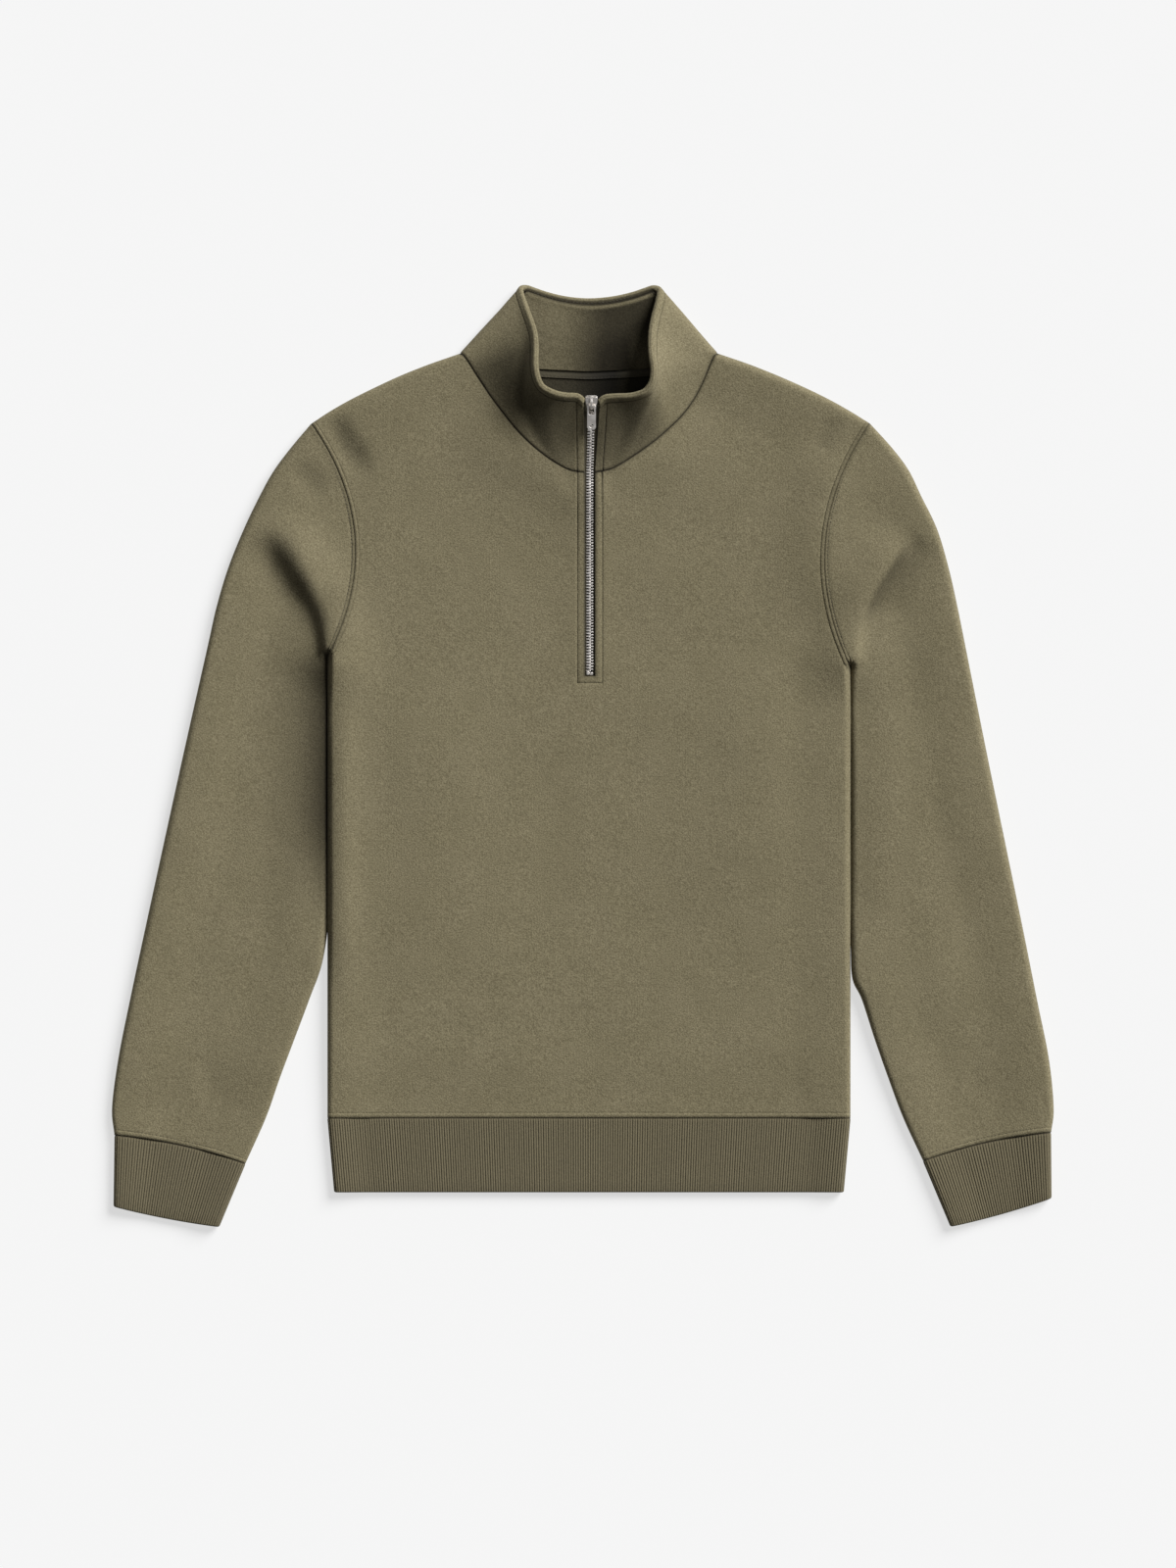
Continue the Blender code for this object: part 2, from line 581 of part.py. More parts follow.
def add_facing(material):
    """The collar's inner layer, which shows across the back and beside the rim."""
    places = collar_places()
    from_fold = np.minimum(abs(places - 1.0), abs(places - 2.0))
    places = places[(from_fold == 0.0) | (from_fold > FACING_FOLD_SHARE)]
    from_fold = np.minimum(abs(places - 1.0), abs(places - 2.0))
    drop = FACING_FOLD_DROP * (1.0 - smoothstep(from_fold / FACING_DROP_SHARE))
    surface = collar_surface(places, FACING_FOOT, COLLAR_TAIL + SEAM_GAP + drop, COLLAR_ROWS)
    shell = bmesh.new()
    add_grid(shell, surface + inward_of(surface) * 2.0 * COLLAR_TURN)
    facing = add_piece("collar_facing", shell, material, WALL)
    facing.modifiers["wall"].use_even_offset = False
    return facing


def add_neck_tape(material):
    """The tape over the back neck seam, on the inside."""
    line = np.vstack([back_neck(LEFT), back_neck(RIGHT)[::-1]])
    line = line[np.abs(line[:, 0]) < NECK_TAPE_REACH]
    line = along(line, np.linspace(0.0, 1.0, 19))
    height = WALL + SEAM_GAP + NECK_TAPE_WALL / 2.0
    edges = [moved_left(line, shift * NECK_TAPE_WIDTH) for shift in (-0.5, 0.5)]
    points = np.array([np.column_stack([edge, np.full(len(edge), height)]) for edge in edges])
    shell = bmesh.new()
    add_grid(shell, points)
    return add_piece("neck_tape", shell, material, NECK_TAPE_WALL)


def zip_edges(side):
    """The cloth's edge beside the zip and a line TAPE_UNDER further in, up the front and collar."""
    front_y = np.append(np.linspace(TAPE_BOTTOM_Y, NECK_Y - 12.0, 12), NECK_Y - TAPE_SEAM_UP)
    lines = []
    for inset in (0.0, TAPE_UNDER):
        front_x = np.full(len(front_y), ZIP_X + side.sign * (SLIT_HALF + inset))
        plan = np.column_stack([front_x, front_y])
        front = np.column_stack([plan, heights(plan)[0]])
        front_way = unit(np.column_stack([np.zeros(len(front)), -np.gradient(front[:, 2]),
                                          np.gradient(front[:, 1])]))
        surface = collar_surface(collar_places(), TAPE_SEAM_UP, TAPE_TOP, COLLAR_ROWS + 1)
        column = (1 if inset else 0) if side.sign < 0 else (-2 if inset else -1)
        lines.append((np.vstack([front, surface[:, column]]),
                      np.vstack([-front_way, inward_of(surface)[:, column]])))
    return lines


def zip_line(depth):
    """The zip's middle line, from below the slit to the rim, at a depth under the cloth's middle."""
    left, right = (zip_edges(side)[0] for side in SIDES)
    points = (left[0] + right[0]) / 2.0
    inward = unit((left[1] + right[1]) * np.array([0.0, 1.0, 1.0]))
    return points + inward * depth


def add_zip_tape(side, material):
    """The tape along one side of the zip: under the cloth, and out of it to the teeth."""
    depth = WALL / 2.0 + TAPE_GAP + TAPE_WALL / 2.0
    (edge, edge_way), (under, under_way) = zip_edges(side)
    middle = zip_line(depth)
    showing = edge + edge_way * depth
    free = np.column_stack([middle[:, 0] + side.sign * TAPE_INNER, showing[:, 1:]])
    shell = bmesh.new()
    add_grid(shell, np.array([free, showing, under + under_way * depth]))
    return add_piece("zip_tape_" + side.name, shell, material, TAPE_WALL)


def strip_between(line, low_y, high_y, count):
    """Part of a line between two places up the garment."""
    places = np.linspace(low_y, high_y, count)
    return np.column_stack([np.interp(places, line[:, 1], line[:, 0]), places,
                            np.interp(places, line[:, 1], line[:, 2])])


def add_zip_strip(name, low_y, high_y, count, material):
    """A stretch of the zip between the tapes: the closed teeth, or the stop below them."""
    line = strip_between(zip_line(CHAIN_DEPTH), low_y, high_y, count)
    half = np.array([CHAIN_HALF, 0.0, 0.0])
    shell = bmesh.new()
    add_grid(shell, np.array([line - half, line + half]))
    return add_piece(name, shell, material, CHAIN_WALL)


def add_grid(shell, points, ring=False, open_from=None):
    """Quads over a grid of points in millimetres. A ring closes each row on itself. With
    open_from, the faces of one column are left out from one row up."""
    rows = [[shell.verts.new(point * MM) for point in row] for row in points]
    columns = len(rows[0])
    for i in range(len(rows) - 1):
        for j in range(columns if ring else columns - 1):
            if open_from and i >= open_from[0] and j == open_from[1]:
                continue
            k = (j + 1) % columns
            shell.faces.new((rows[i][j], rows[i][k], rows[i + 1][k], rows[i + 1][j]))


def add_piece(name, shell, material, wall=None):
    """An object from a bmesh, with a wall's thickness given to an open surface."""
    bmesh.ops.recalc_face_normals(shell, faces=shell.faces)
    mesh = bpy.data.meshes.new(name)
    shell.to_mesh(mesh)
    shell.free()
    mesh.materials.append(material)
    mesh.shade_smooth()
    piece = bpy.data.objects.new(name, mesh)
    COLLECTION.objects.link(piece)
    piece.parent = GARMENT
    if wall:
        thickness = piece.modifiers.new("wall", 'SOLIDIFY')
        thickness.thickness = wall * MM
        thickness.offset = 0.0
        thickness.use_even_offset = True
    return piece


def make_material(name, color, roughness, metallic=0.0):
    material = bpy.data.materials.new(name)
    material.use_nodes = True
    shader = material.node_tree.nodes["Principled BSDF"]
    shader.inputs["Base Color"].default_value = (*color, 1.0)
    shader.inputs["Roughness"].default_value = roughness
    shader.inputs["Metallic"].default_value = metallic
    return material


def add_box(shell, center, size):
    """A box in the slider's own axes, in millimetres."""
    made = bmesh.ops.create_cube(shell, size=1.0)
    bmesh.ops.scale(shell, vec=[length * MM for length in size], verts=made["verts"])
    bmesh.ops.translate(shell, vec=[place * MM for place in center], verts=made["verts"])
    return made["verts"]


def join_boxes(target, boxes):
    """Boxes joined to a piece by Boolean unions; the joined boxes are kept as guides."""
    for index, (center, size) in enumerate(boxes):
        shell = bmesh.new()
        add_box(shell, center, size)
        tool = add_piece(target.name + "_joined_" + str(index), shell, target.data.materials[0])
        hide_tool(tool, target.parent)
        union = target.modifiers.new("join", 'BOOLEAN')
        union.operation = 'UNION'
        union.object = tool


def cut_with(target, tool):
    hide_tool(tool, target.parent)
    cut = target.modifiers.new("cut", 'BOOLEAN')
    cut.operation = 'DIFFERENCE'
    cut.object = tool


def hide_tool(tool, parent):
    tool.parent = parent
    tool.hide_render = True
    tool.display_type = 'WIRE'
    COLLECTION.objects.unlink(tool)
    CUTTERS.objects.link(tool)


def add_slider(head, material):
    """The slider's body with the bridge that holds the pull tab."""
    shell = bmesh.new()
    corners = add_box(shell, (0.0, 0.0, 0.0), (2.0 * SLIDER_HALF, SLIDER_LENGTH, SLIDER_DEPTH))
    for corner in corners:
        if corner.co.y < 0.0:
            corner.co.x *= SLIDER_TAPER
    slider = add_piece("zip_slider", shell, material)
    slider.parent = head
    top = SLIDER_DEPTH / 2.0
    foot = BRIDGE_HEIGHT + BRIDGE_SUNK
    middle = top - BRIDGE_SUNK + foot / 2.0
    ends = (BRIDGE_LENGTH - BRIDGE_BAR) / 2.0
    join_boxes(slider, (
        ((0.0, -ends, middle), (BRIDGE_WIDTH, BRIDGE_BAR, foot)),
        ((0.0, ends, middle), (BRIDGE_WIDTH, BRIDGE_BAR, foot)),
        ((0.0, 0.0, top + BRIDGE_HEIGHT - BRIDGE_BAR / 2.0), (BRIDGE_WIDTH, BRIDGE_LENGTH, BRIDGE_BAR)),
    ))
    round_edges(slider)


def add_pull(hinge, material):
    """The pull tab, whose origin is on its hinge: a plate with a slot round the bridge."""
    shell = bmesh.new()
    end = PULL_TOP_BAR / 2.0 - PULL_LENGTH
    add_box(shell, (0.0, end + PULL_LENGTH / 2.0, 0.0), (PULL_WIDTH, PULL_LENGTH, PULL_DEPTH))
    pull = add_piece("zip_pull", shell, material)
    pull.parent = hinge
    slot = bmesh.new()
    add_box(slot, (0.0, -(PULL_TOP_BAR + PULL_SLOT_LENGTH) / 2.0, 0.0),
            (PULL_SLOT_WIDTH, PULL_SLOT_LENGTH, 4.0 * PULL_DEPTH))
    cut_with(pull, add_piece("zip_pull_slot", slot, material))
    hole = bmesh.new()
    bmesh.ops.create_cone(hole, cap_ends=True, segments=PULL_HOLE_SIDES, radius1=PULL_HOLE_RADIUS * MM,
                          radius2=PULL_HOLE_RADIUS * MM, depth=4.0 * PULL_DEPTH * MM)
    bmesh.ops.translate(hole, vec=(0.0, (end + PULL_HOLE_UP) * MM, 0.0), verts=hole.verts)
    cut_with(pull, add_piece("zip_pull_hole", hole, material))
    round_edges(pull)


def round_edges(piece):
    edge = piece.modifiers.new("edge", 'BEVEL')
    edge.width = METAL_EDGE * MM
    edge.segments = 2


def add_empty(name, parent, location, turn):
    empty = bpy.data.objects.new(name, None)
    COLLECTION.objects.link(empty)
    empty.parent = parent
    empty.location = [place * MM for place in location]
    empty.rotation_euler = (turn, 0.0, 0.0)
    return empty


clear_scene()
COLLECTION = bpy.data.collections.new("half_zip_sweatshirt")
CUTTERS = bpy.data.collections.new("cutters")
bpy.context.scene.collection.children.link(COLLECTION)
bpy.context.scene.collection.children.link(CUTTERS)
GARMENT = add_empty("sweatshirt", None, (-MIDDLE_X, -MIDDLE_Y, 0.0), 0.0)

fleece = make_material("olive_fleece", (0.185, 0.162, 0.098), 0.92)
rib_knit = make_material("olive_rib", (0.135, 0.115, 0.068), 0.94)
trim_tape = make_material("olive_tape", (0.10, 0.088, 0.055), 0.85)
metal = make_material("silver_metal", (0.62, 0.61, 0.58), 0.32, 1.0)

row_count = len(panel_rows()[0])
add_panel("front", front_neck, panel_rows()[1], 0, fleece)
add_panel("back", back_neck, row_count, 1, fleece)
for side in SIDES:
    add_sleeve(side, fleece)
    wrist = SEAM_GAP * np.array([0.0, -1.0])
    seam_ends = (np.array(side.outer[-1]) + wrist, np.array(side.inner[-1]) + wrist)
    add_rib_band("cuff_" + side.name, seam_ends, side.cuff_edge, CUFF_BOW, rib_knit)
hem_y = HEM_SEAM_Y - SEAM_GAP / 2.0
add_rib_band("hem_band", ((-SIDE_X, hem_y), (SIDE_X, hem_y)), ((-HEM_EDGE_X, 0.0), (HEM_EDGE_X, 0.0)),
             0.0, rib_knit)
add_collar(fleece)
add_facing(fleece)
add_neck_tape(trim_tape)
for side in SIDES:
    add_zip_tape(side, trim_tape)

# The slider's own axes: Y up the zip and Z out of it.
teeth = zip_line(CHAIN_DEPTH)
end_x, end_y, end_z = teeth[-1]
slope = math.atan2(end_z - teeth[-2, 2], end_y - teeth[-2, 1])
slider_z = end_z + (SLIDER_Y - end_y) * math.tan(slope) + SLIDER_RAISED
slider_low_y = SLIDER_Y - (SLIDER_LENGTH * math.cos(slope) + SLIDER_DEPTH * math.sin(slope)) / 2.0
add_zip_strip("zip_stop", STOP_Y, STOP_Y + STOP_LENGTH, 2, metal)
add_zip_strip("zip_chain", STOP_Y + STOP_LENGTH + ZIP_GAP, slider_low_y - CHAIN_END, CHAIN_STEPS, metal)
head = add_empty("zip_head", GARMENT, (end_x, SLIDER_Y, slider_z), slope)
add_slider(head, metal)
hinge = add_empty("zip_hinge", head, (0.0, HINGE_Y, HINGE_HEIGHT), -PULL_REST)
add_pull(hinge, metal)
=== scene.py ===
import math

import bmesh
import bpy
import numpy as np
from mathutils import Matrix, Vector


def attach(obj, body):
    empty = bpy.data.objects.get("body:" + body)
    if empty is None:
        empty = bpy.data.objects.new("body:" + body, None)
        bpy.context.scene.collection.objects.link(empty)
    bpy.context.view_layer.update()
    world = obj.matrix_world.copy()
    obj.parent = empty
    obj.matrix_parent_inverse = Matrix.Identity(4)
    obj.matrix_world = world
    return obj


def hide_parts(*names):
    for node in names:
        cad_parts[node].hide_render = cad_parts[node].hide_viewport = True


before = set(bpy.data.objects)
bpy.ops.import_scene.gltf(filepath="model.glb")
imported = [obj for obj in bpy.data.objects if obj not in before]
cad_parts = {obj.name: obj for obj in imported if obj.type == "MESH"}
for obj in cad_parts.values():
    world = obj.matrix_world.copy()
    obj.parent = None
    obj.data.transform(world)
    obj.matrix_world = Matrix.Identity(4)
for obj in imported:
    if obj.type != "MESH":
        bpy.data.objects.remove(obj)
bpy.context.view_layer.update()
scene = bpy.context.scene
mm = 0.001
tableZero = np.array([5.3, -365.6, 0.0])   # where the tables' zero lies in the frame, in mm

# all sizes are mm: x from the zip, y up from the hem's edge, z up from the surface it lies on
garment = {
    "wall": 2.2, "seamGap": 0.4, "foldHalf": 5.5, "ribFoldHalf": 4.6, "drawnIn": 60.0,
    "foldEase": 0.2, "foldGap": 1.0, "layered": 7.0, "hemLayered": 5.3, "settle": 48.0,
    "hemSeamY": 62.3, "sideX": 218.9, "hemEdgeX": 213.2, "zipX": 0.65, "slitHalf": 4.6,
    "slitFootY": 431.7, "neckY": 601.6, "backNeckY": 682.7, "armholeBow": 28.7, "cuffBow": (-3.5, 1.6),
    "underarmRow": 0.655, "neckColumn": 0.46,
    "underarmLift": 0.8, "underarmReach": 20.0, "sleeveLength": 640.0, "sleeveLeavesY": 190.0,
}
seamInset = garment["wall"] / 2 + garment["seamGap"] / 2   # from a seam to the middle of the wall beside it

leftSide = {
    "name": "left", "sign": -1,
    "shoulder": ((-107.8, 701.5), (-133.7, 692.5), (-158.3, 682.7), (-179.6, 672.8),
                 (-199.3, 663.0), (-216.5, 653.2), (-232.1, 642.9)),
    "neck": ((-103.8, 697.5), (-92.5, 680.2), (-83.1, 666.0), (-71.8, 650.9), (-60.4, 636.8),
             (-49.2, 625.5), (-37.9, 616.2), (-26.6, 608.6), (-15.5, 603.2)),
    "underarmY": 449.0,
    "outer": ((-232.1, 642.9), (-248.5, 623.6), (-263.2, 604.0), (-275.0, 583.0), (-288.6, 554.7),
              (-301.8, 521.9), (-311.6, 489.1), (-319.0, 456.3), (-341.1, 357.9), (-369.8, 226.7),
              (-383.8, 161.1), (-393.6, 111.9), (-398.9, 70.9), (-396.9, 48.0)),
    "inner": ((-218.9, 449.0), (-218.9, 380.0), (-218.9, 300.0), (-218.9, 235.0), (-222.4, 194.0),
              (-233.7, 161.1), (-246.0, 128.3), (-258.3, 95.5), (-269.8, 62.7), (-287.0, 24.2)),
    "cuffEdge": ((-397.7, -11.9), (-309.1, -29.0)),
    "tuckedUnder": 2.0,      # the sleeve's inner fold is this much thinner beside the body
    "pushedIn": 2.5,         # and lies this much further in, under the body's round edge
}
rightSide = {
    "name": "right", "sign": 1,
    "shoulder": ((107.8, 701.5), (134.0, 692.5), (158.6, 682.7), (181.0, 672.8),
                 (201.0, 663.0), (218.5, 653.2), (234.5, 643.3)),
    "neck": ((104.2, 697.5), (93.6, 673.5), (86.1, 660.3), (77.6, 649.0), (66.3, 637.8),
             (53.1, 626.5), (36.2, 614.6), (22.1, 606.0), (15.0, 603.4)),
    "underarmY": 440.0,
    "outer": ((234.5, 643.3), (252.6, 623.6), (267.3, 604.0), (277.5, 583.0), (291.1, 554.7),
              (300.9, 521.9), (308.3, 489.1), (314.9, 456.3), (334.6, 357.9), (361.6, 226.7),
              (374.7, 161.1), (384.6, 111.9), (388.7, 70.9), (386.6, 50.4)),
    "inner": ((218.9, 440.0), (218.9, 370.0), (218.9, 290.0), (218.9, 215.0), (219.8, 180.0),
              (228.0, 161.1), (238.6, 128.3), (250.1, 95.5), (262.4, 62.7), (279.0, 26.7)),
    "cuffEdge": ((387.0, -4.9), (302.2, -28.8)),
    "tuckedUnder": 1.2, "pushedIn": 2.2,
}
sides = (leftSide, rightSide)

softEnds = (0.4, 0.4)   # over what share of its path a form fades at each end, if it doesn't say

# Soft forms of the upper wall. A crease stands high to the left of its path: steep is how far it
# drops on the right, gentle how far it fades on the left, and ends fade over a share of the path.
creases = (
    {"high": 1.4, "steep": 20, "gentle": 20, "ends": (0.1, 0.1), "path": ((0.6, 425), (0.6, 600))},
    {"high": 5.2, "steep": 38, "gentle": 34, "ends": (0.3, 0.3),
     "path": ((-92, 680), (-60, 637), (-38, 617), (0, 602), (38, 616), (62, 634), (94, 674))},
    # left underarm: the cap folds over the sleeve
    {"high": 8.5, "steep": 15, "steepEnd": 4, "gentle": 26, "ends": (0.35, 0.0),
     "path": ((-270, 570), (-258, 547), (-246, 528), (-233, 506), (-223, 486), (-219, 464), (-219, 450))},
    {"high": -3.4, "steep": 24, "gentle": 12, "ends": (0.3, 0.3),
     "path": ((-276, 556), (-262, 530), (-248, 505), (-238, 480))},
    {"high": 2.6, "steep": 12, "gentle": 12, "ends": (0.25, 0.3), "path": ((-206, 428), (-207, 300), (-207, 150))},
    # right underarm
    {"high": 5.4, "steep": 7, "gentle": 26, "ends": (0.0, 0.3),
     "path": ((220, 448), (223, 470), (231, 492), (243, 513), (257, 533), (270, 554))},
    {"high": -3.0, "steep": 16, "gentle": 10, "ends": (0.3, 0.2),
     "path": ((238, 474), (250, 502), (266, 530), (279, 552))},
    # shoulders
    {"high": -3.0, "steep": 10, "gentle": 9, "ends": (0.2, 0.4), "path": ((-216, 651), (-203, 628), (-180, 596))},
    {"high": -2.0, "steep": 11, "gentle": 11, "path": ((-247, 616), (-234, 596), (-218, 574))},
    {"high": -1.2, "steep": 10, "gentle": 9, "ends": (0.3, 0.3), "path": ((203, 652), (200, 636), (192, 614))},
    # beside the zip and under the collar
    {"high": -0.9, "steep": 6, "gentle": 6, "path": ((-27, 608), (-17, 596), (-14, 578))},
    {"high": -0.9, "steep": 6, "gentle": 6, "path": ((30, 608), (19, 595), (15, 576))},
    {"high": -1.6, "steep": 12, "gentle": 12, "path": ((-92, 664), (-76, 640), (-52, 616))},
    # the body and the right sleeve lie a little crowned
    {"high": 3.0, "steep": 45, "gentle": 70, "ends": (0.4, 0.3), "path": ((140, 110), (147, 300), (150, 480))},
    {"high": 1.6, "steep": 70, "gentle": 45, "ends": (0.4, 0.3), "path": ((-140, 110), (-146, 300), (-150, 470))},
    {"high": 4.2, "steep": 42, "gentle": 30, "ends": (0.3, 0.3),
     "path": ((206, 466), (194, 530), (198, 590), (213, 640))},
    {"high": 1.7, "steep": 44, "gentle": 28, "ends": (0.3, 0.3),
     "path": ((248, 430), (262, 310), (286, 200), (306, 110))},
    # long soft waves of the body and the sleeves
    {"high": 0.8, "steep": 30, "gentle": 34, "path": ((-150, 420), (-120, 330), (-128, 210))},
    {"high": 0.9, "steep": 34, "gentle": 28, "path": ((150, 470), (134, 360), (142, 240))},
    {"high": -0.7, "steep": 24, "gentle": 24, "path": ((-60, 400), (-30, 300), (-44, 170))},
    {"high": 0.9, "steep": 24, "gentle": 22, "path": ((-300, 430), (-318, 340), (-338, 240))},
    {"high": 0.9, "steep": 22, "gentle": 24, "path": ((290, 440), (308, 330), (330, 220))},
    {"high": -0.9, "steep": 9, "gentle": 12, "path": ((-332, 120), (-318, 96), (-322, 70))},
    {"high": -0.8, "steep": 9, "gentle": 10, "path": ((330, 122), (322, 98), (330, 72))},
)

# the same for the wall that lies below: each one lifts it off the surface it lies on
backCreases = (
    {"high": 0.9, "steep": 9, "gentle": 13, "path": ((-196, 424), (-168, 396), (-120, 378))},
    {"high": 0.7, "steep": 8, "gentle": 12, "path": ((-200, 398), (-176, 350), (-150, 318))},
    {"high": 1.0, "steep": 10, "gentle": 14, "path": ((198, 410), (160, 388), (108, 380))},
    {"high": 0.7, "steep": 8, "gentle": 11, "path": ((196, 372), (178, 332), (170, 276))},
    {"high": 0.8, "steep": 12, "gentle": 9, "path": ((-120, 590), (-70, 560), (-28, 520))},
    {"high": 0.7, "steep": 9, "gentle": 13, "path": ((128, 600), (84, 566), (40, 544))},
    {"high": 0.6, "steep": 14, "gentle": 18, "path": ((-110, 300), (-86, 220), (-96, 120))},
    {"high": 0.7, "steep": 13, "gentle": 16, "path": ((70, 330), (92, 230), (80, 130))},
    {"high": 0.6, "steep": 12, "gentle": 12, "path": ((-20, 260), (-8, 180), (-18, 110))},
    {"high": 0.9, "steep": 8, "gentle": 12, "path": ((-178, 200), (-190, 150), (-186, 100))},
    {"high": 1.5, "steep": 8, "gentle": 15, "path": ((-236, 470), (-262, 440), (-296, 424))},
    {"high": 1.2, "steep": 8, "gentle": 12, "path": ((-232, 430), (-262, 392), (-300, 370))},
    {"high": 0.8, "steep": 9, "gentle": 12, "path": ((-300, 300), (-316, 240), (-340, 180))},
    {"high": 1.0, "steep": 7, "gentle": 10, "path": ((-290, 130), (-318, 112), (-352, 116))},
    {"high": 1.4, "steep": 9, "gentle": 13, "path": ((234, 458), (264, 434), (294, 420))},
    {"high": 1.1, "steep": 8, "gentle": 12, "path": ((234, 420), (266, 380), (296, 340))},
    {"high": 0.8, "steep": 10, "gentle": 12, "path": ((296, 280), (318, 230), (326, 170))},
    {"high": 1.0, "steep": 7, "gentle": 10, "path": ((280, 120), (312, 106), (346, 112))},
    {"high": 0.9, "steep": 8, "gentle": 10, "path": ((-206, 620), (-196, 580), (-204, 540))},
    {"high": 0.8, "steep": 8, "gentle": 10, "path": ((208, 612), (200, 570), (206, 530))},
)

unevenness = {"broad": 0.55, "broadCell": 58.0, "fine": 0.16, "fineCell": 17.0}   # mm of height


def smoothstep(share):
    share = np.clip(share, 0.0, 1.0)
    return share * share * (3.0 - 2.0 * share)


def unit(vectors):
    return vectors / np.linalg.norm(vectors, axis=-1, keepdims=True)


# a smooth path through a table's points
def curve(points, steps=8):
    points = np.array(points, float)
    padded = np.vstack([2 * points[0] - points[1], points, 2 * points[-1] - points[-2]])
    share = np.linspace(0.0, 1.0, steps, endpoint=False)[:, None]
    pieces = []
    for a, b, c, d in zip(padded, padded[1:], padded[2:], padded[3:]):
        bend = (2 * a - 5 * b + 4 * c - d) * share**2 + (3 * b - a - 3 * c + d) * share**3
        pieces.append(0.5 * (2 * b + (c - a) * share + bend))
    return np.vstack(pieces + [points[-1:]])


def lengthsOf(path):
    return np.concatenate([[0.0], np.cumsum(np.linalg.norm(np.diff(path, axis=0), axis=1))])


# where a path lies at places, given the place of each of its own points
def pointsAt(places, known, path):
    return np.stack([np.interp(places, known, column) for column in path.T], axis=-1)


# points of a path at shares of its length
def along(path, shares):
    length = lengthsOf(path)
    return pointsAt(np.asarray(shares) * length[-1], length, path)


def movedLeft(path, distance):
    step = unit(np.gradient(path, axis=0))
    return path + distance * np.stack([-step[:, 1], step[:, 0]], axis=1)


pointsAtOnce = 4000   # how many points nearPath measures in one go


# how far each point lies from a path in plan, on which side of it, and at what share of it
def nearPath(path, points):
    flat = points[..., :2].reshape(-1, 2)
    start, step = path[:-1], np.diff(path, axis=0)
    squared = (step**2).sum(1)
    lengths = lengthsOf(path)
    away = np.empty(len(flat))
    turn = np.empty(len(flat))
    share = np.empty(len(flat))
    for low in range(0, len(flat), pointsAtOnce):
        part = slice(low, low + pointsAtOnce)
        offset = flat[part, None] - start
        place = np.clip((offset * step).sum(-1) / squared, 0.0, 1.0)
        gap = np.linalg.norm(offset - place[..., None] * step, axis=-1)
        nearest = gap.argmin(1)
        row = np.arange(len(nearest))
        away[part] = gap[row, nearest]
        there, way = offset[row, nearest], step[nearest]
        turn[part] = way[:, 0] * there[:, 1] - way[:, 1] * there[:, 0]
        run = lengths[nearest] + place[row, nearest] * (lengths[nearest + 1] - lengths[nearest])
        share[part] = run / lengths[-1]
    shape = points.shape[:-1]
    return away.reshape(shape), np.sign(turn).reshape(shape), share.reshape(shape)


# smooth random unevenness over the plan, the same in every run
def uneven(points, cell, seed):
    grid = np.random.default_rng(seed).uniform(-1.0, 1.0, (64, 64))
    place = points[..., :2] / cell + 30.0
    base = np.floor(place).astype(int)
    share = smoothstep(place - base)
    i, j = base[..., 0] % 63, base[..., 1] % 63
    low = grid[i, j] * (1 - share[..., 0]) + grid[i + 1, j] * share[..., 0]
    high = grid[i, j + 1] * (1 - share[..., 0]) + grid[i + 1, j + 1] * share[..., 0]
    return low * (1 - share[..., 1]) + high * share[..., 1]


foldPaths = []
for side in sides:
    foldPaths.append(curve(side["shoulder"][:-1] + side["outer"], 6))
    foldPaths.append(curve(side["inner"], 4))
    foldPaths.append(np.array([(side["sign"] * garment["sideX"], garment["hemSeamY"] - 5.0),
                               (side["sign"] * garment["sideX"], side["underarmY"])]))


# 1 along a path, and less over a share of it at each end
def endFade(form, share):
    first, last = form.get("ends", softEnds)
    fade = smoothstep(share / first) if first else 1.0
    return fade * smoothstep((1.0 - share) / last) if last else fade


def creaseHeight(points, forms):
    total = np.zeros(points.shape[:-1])
    for crease in forms:
        away, turn, share = nearPath(curve(crease["path"], 5), points)
        steep = crease["steep"] + (crease.get("steepEnd", crease["steep"]) - crease["steep"]) * share
        reach = np.where(turn > 0, crease["gentle"], steep)
        total += crease["high"] * endFade(crease, share) * np.exp(-((away / reach) ** 2))
    return total


def unevenHeight(points):
    return sum(unevenness[size] * uneven(points, unevenness[size + "Cell"], seed)
               for seed, size in enumerate(("broad", "fine")))


# 1 where a sleeve lies beside the body, 0 above the underarm and where it leaves the body
def besideBody(points, side):
    beside = smoothstep((points[..., 1] - garment["sleeveLeavesY"]) / 60.0)
    return beside * smoothstep((side["underarmY"] + 8.0 - points[..., 1]) / 8.0)


# half of the thickness at a fold: the ribs draw it in, and a sleeve beside the body is thinner
def halfThickness(points, sleeveOf=None):
    share = smoothstep((points[..., 1] - garment["hemSeamY"]) / garment["drawnIn"])
    half = garment["ribFoldHalf"] + (garment["foldHalf"] - garment["ribFoldHalf"]) * share
    if sleeveOf:
        out = abs(points[..., 0]) - garment["sideX"]
        beside = besideBody(points, sleeveOf) * smoothstep((sleeveOf["underarmY"] - 4.0 - points[..., 1]) / 30.0)
        half = half - sleeveOf["tuckedUnder"] * beside * smoothstep((46.0 - out) / 46.0)
    return half


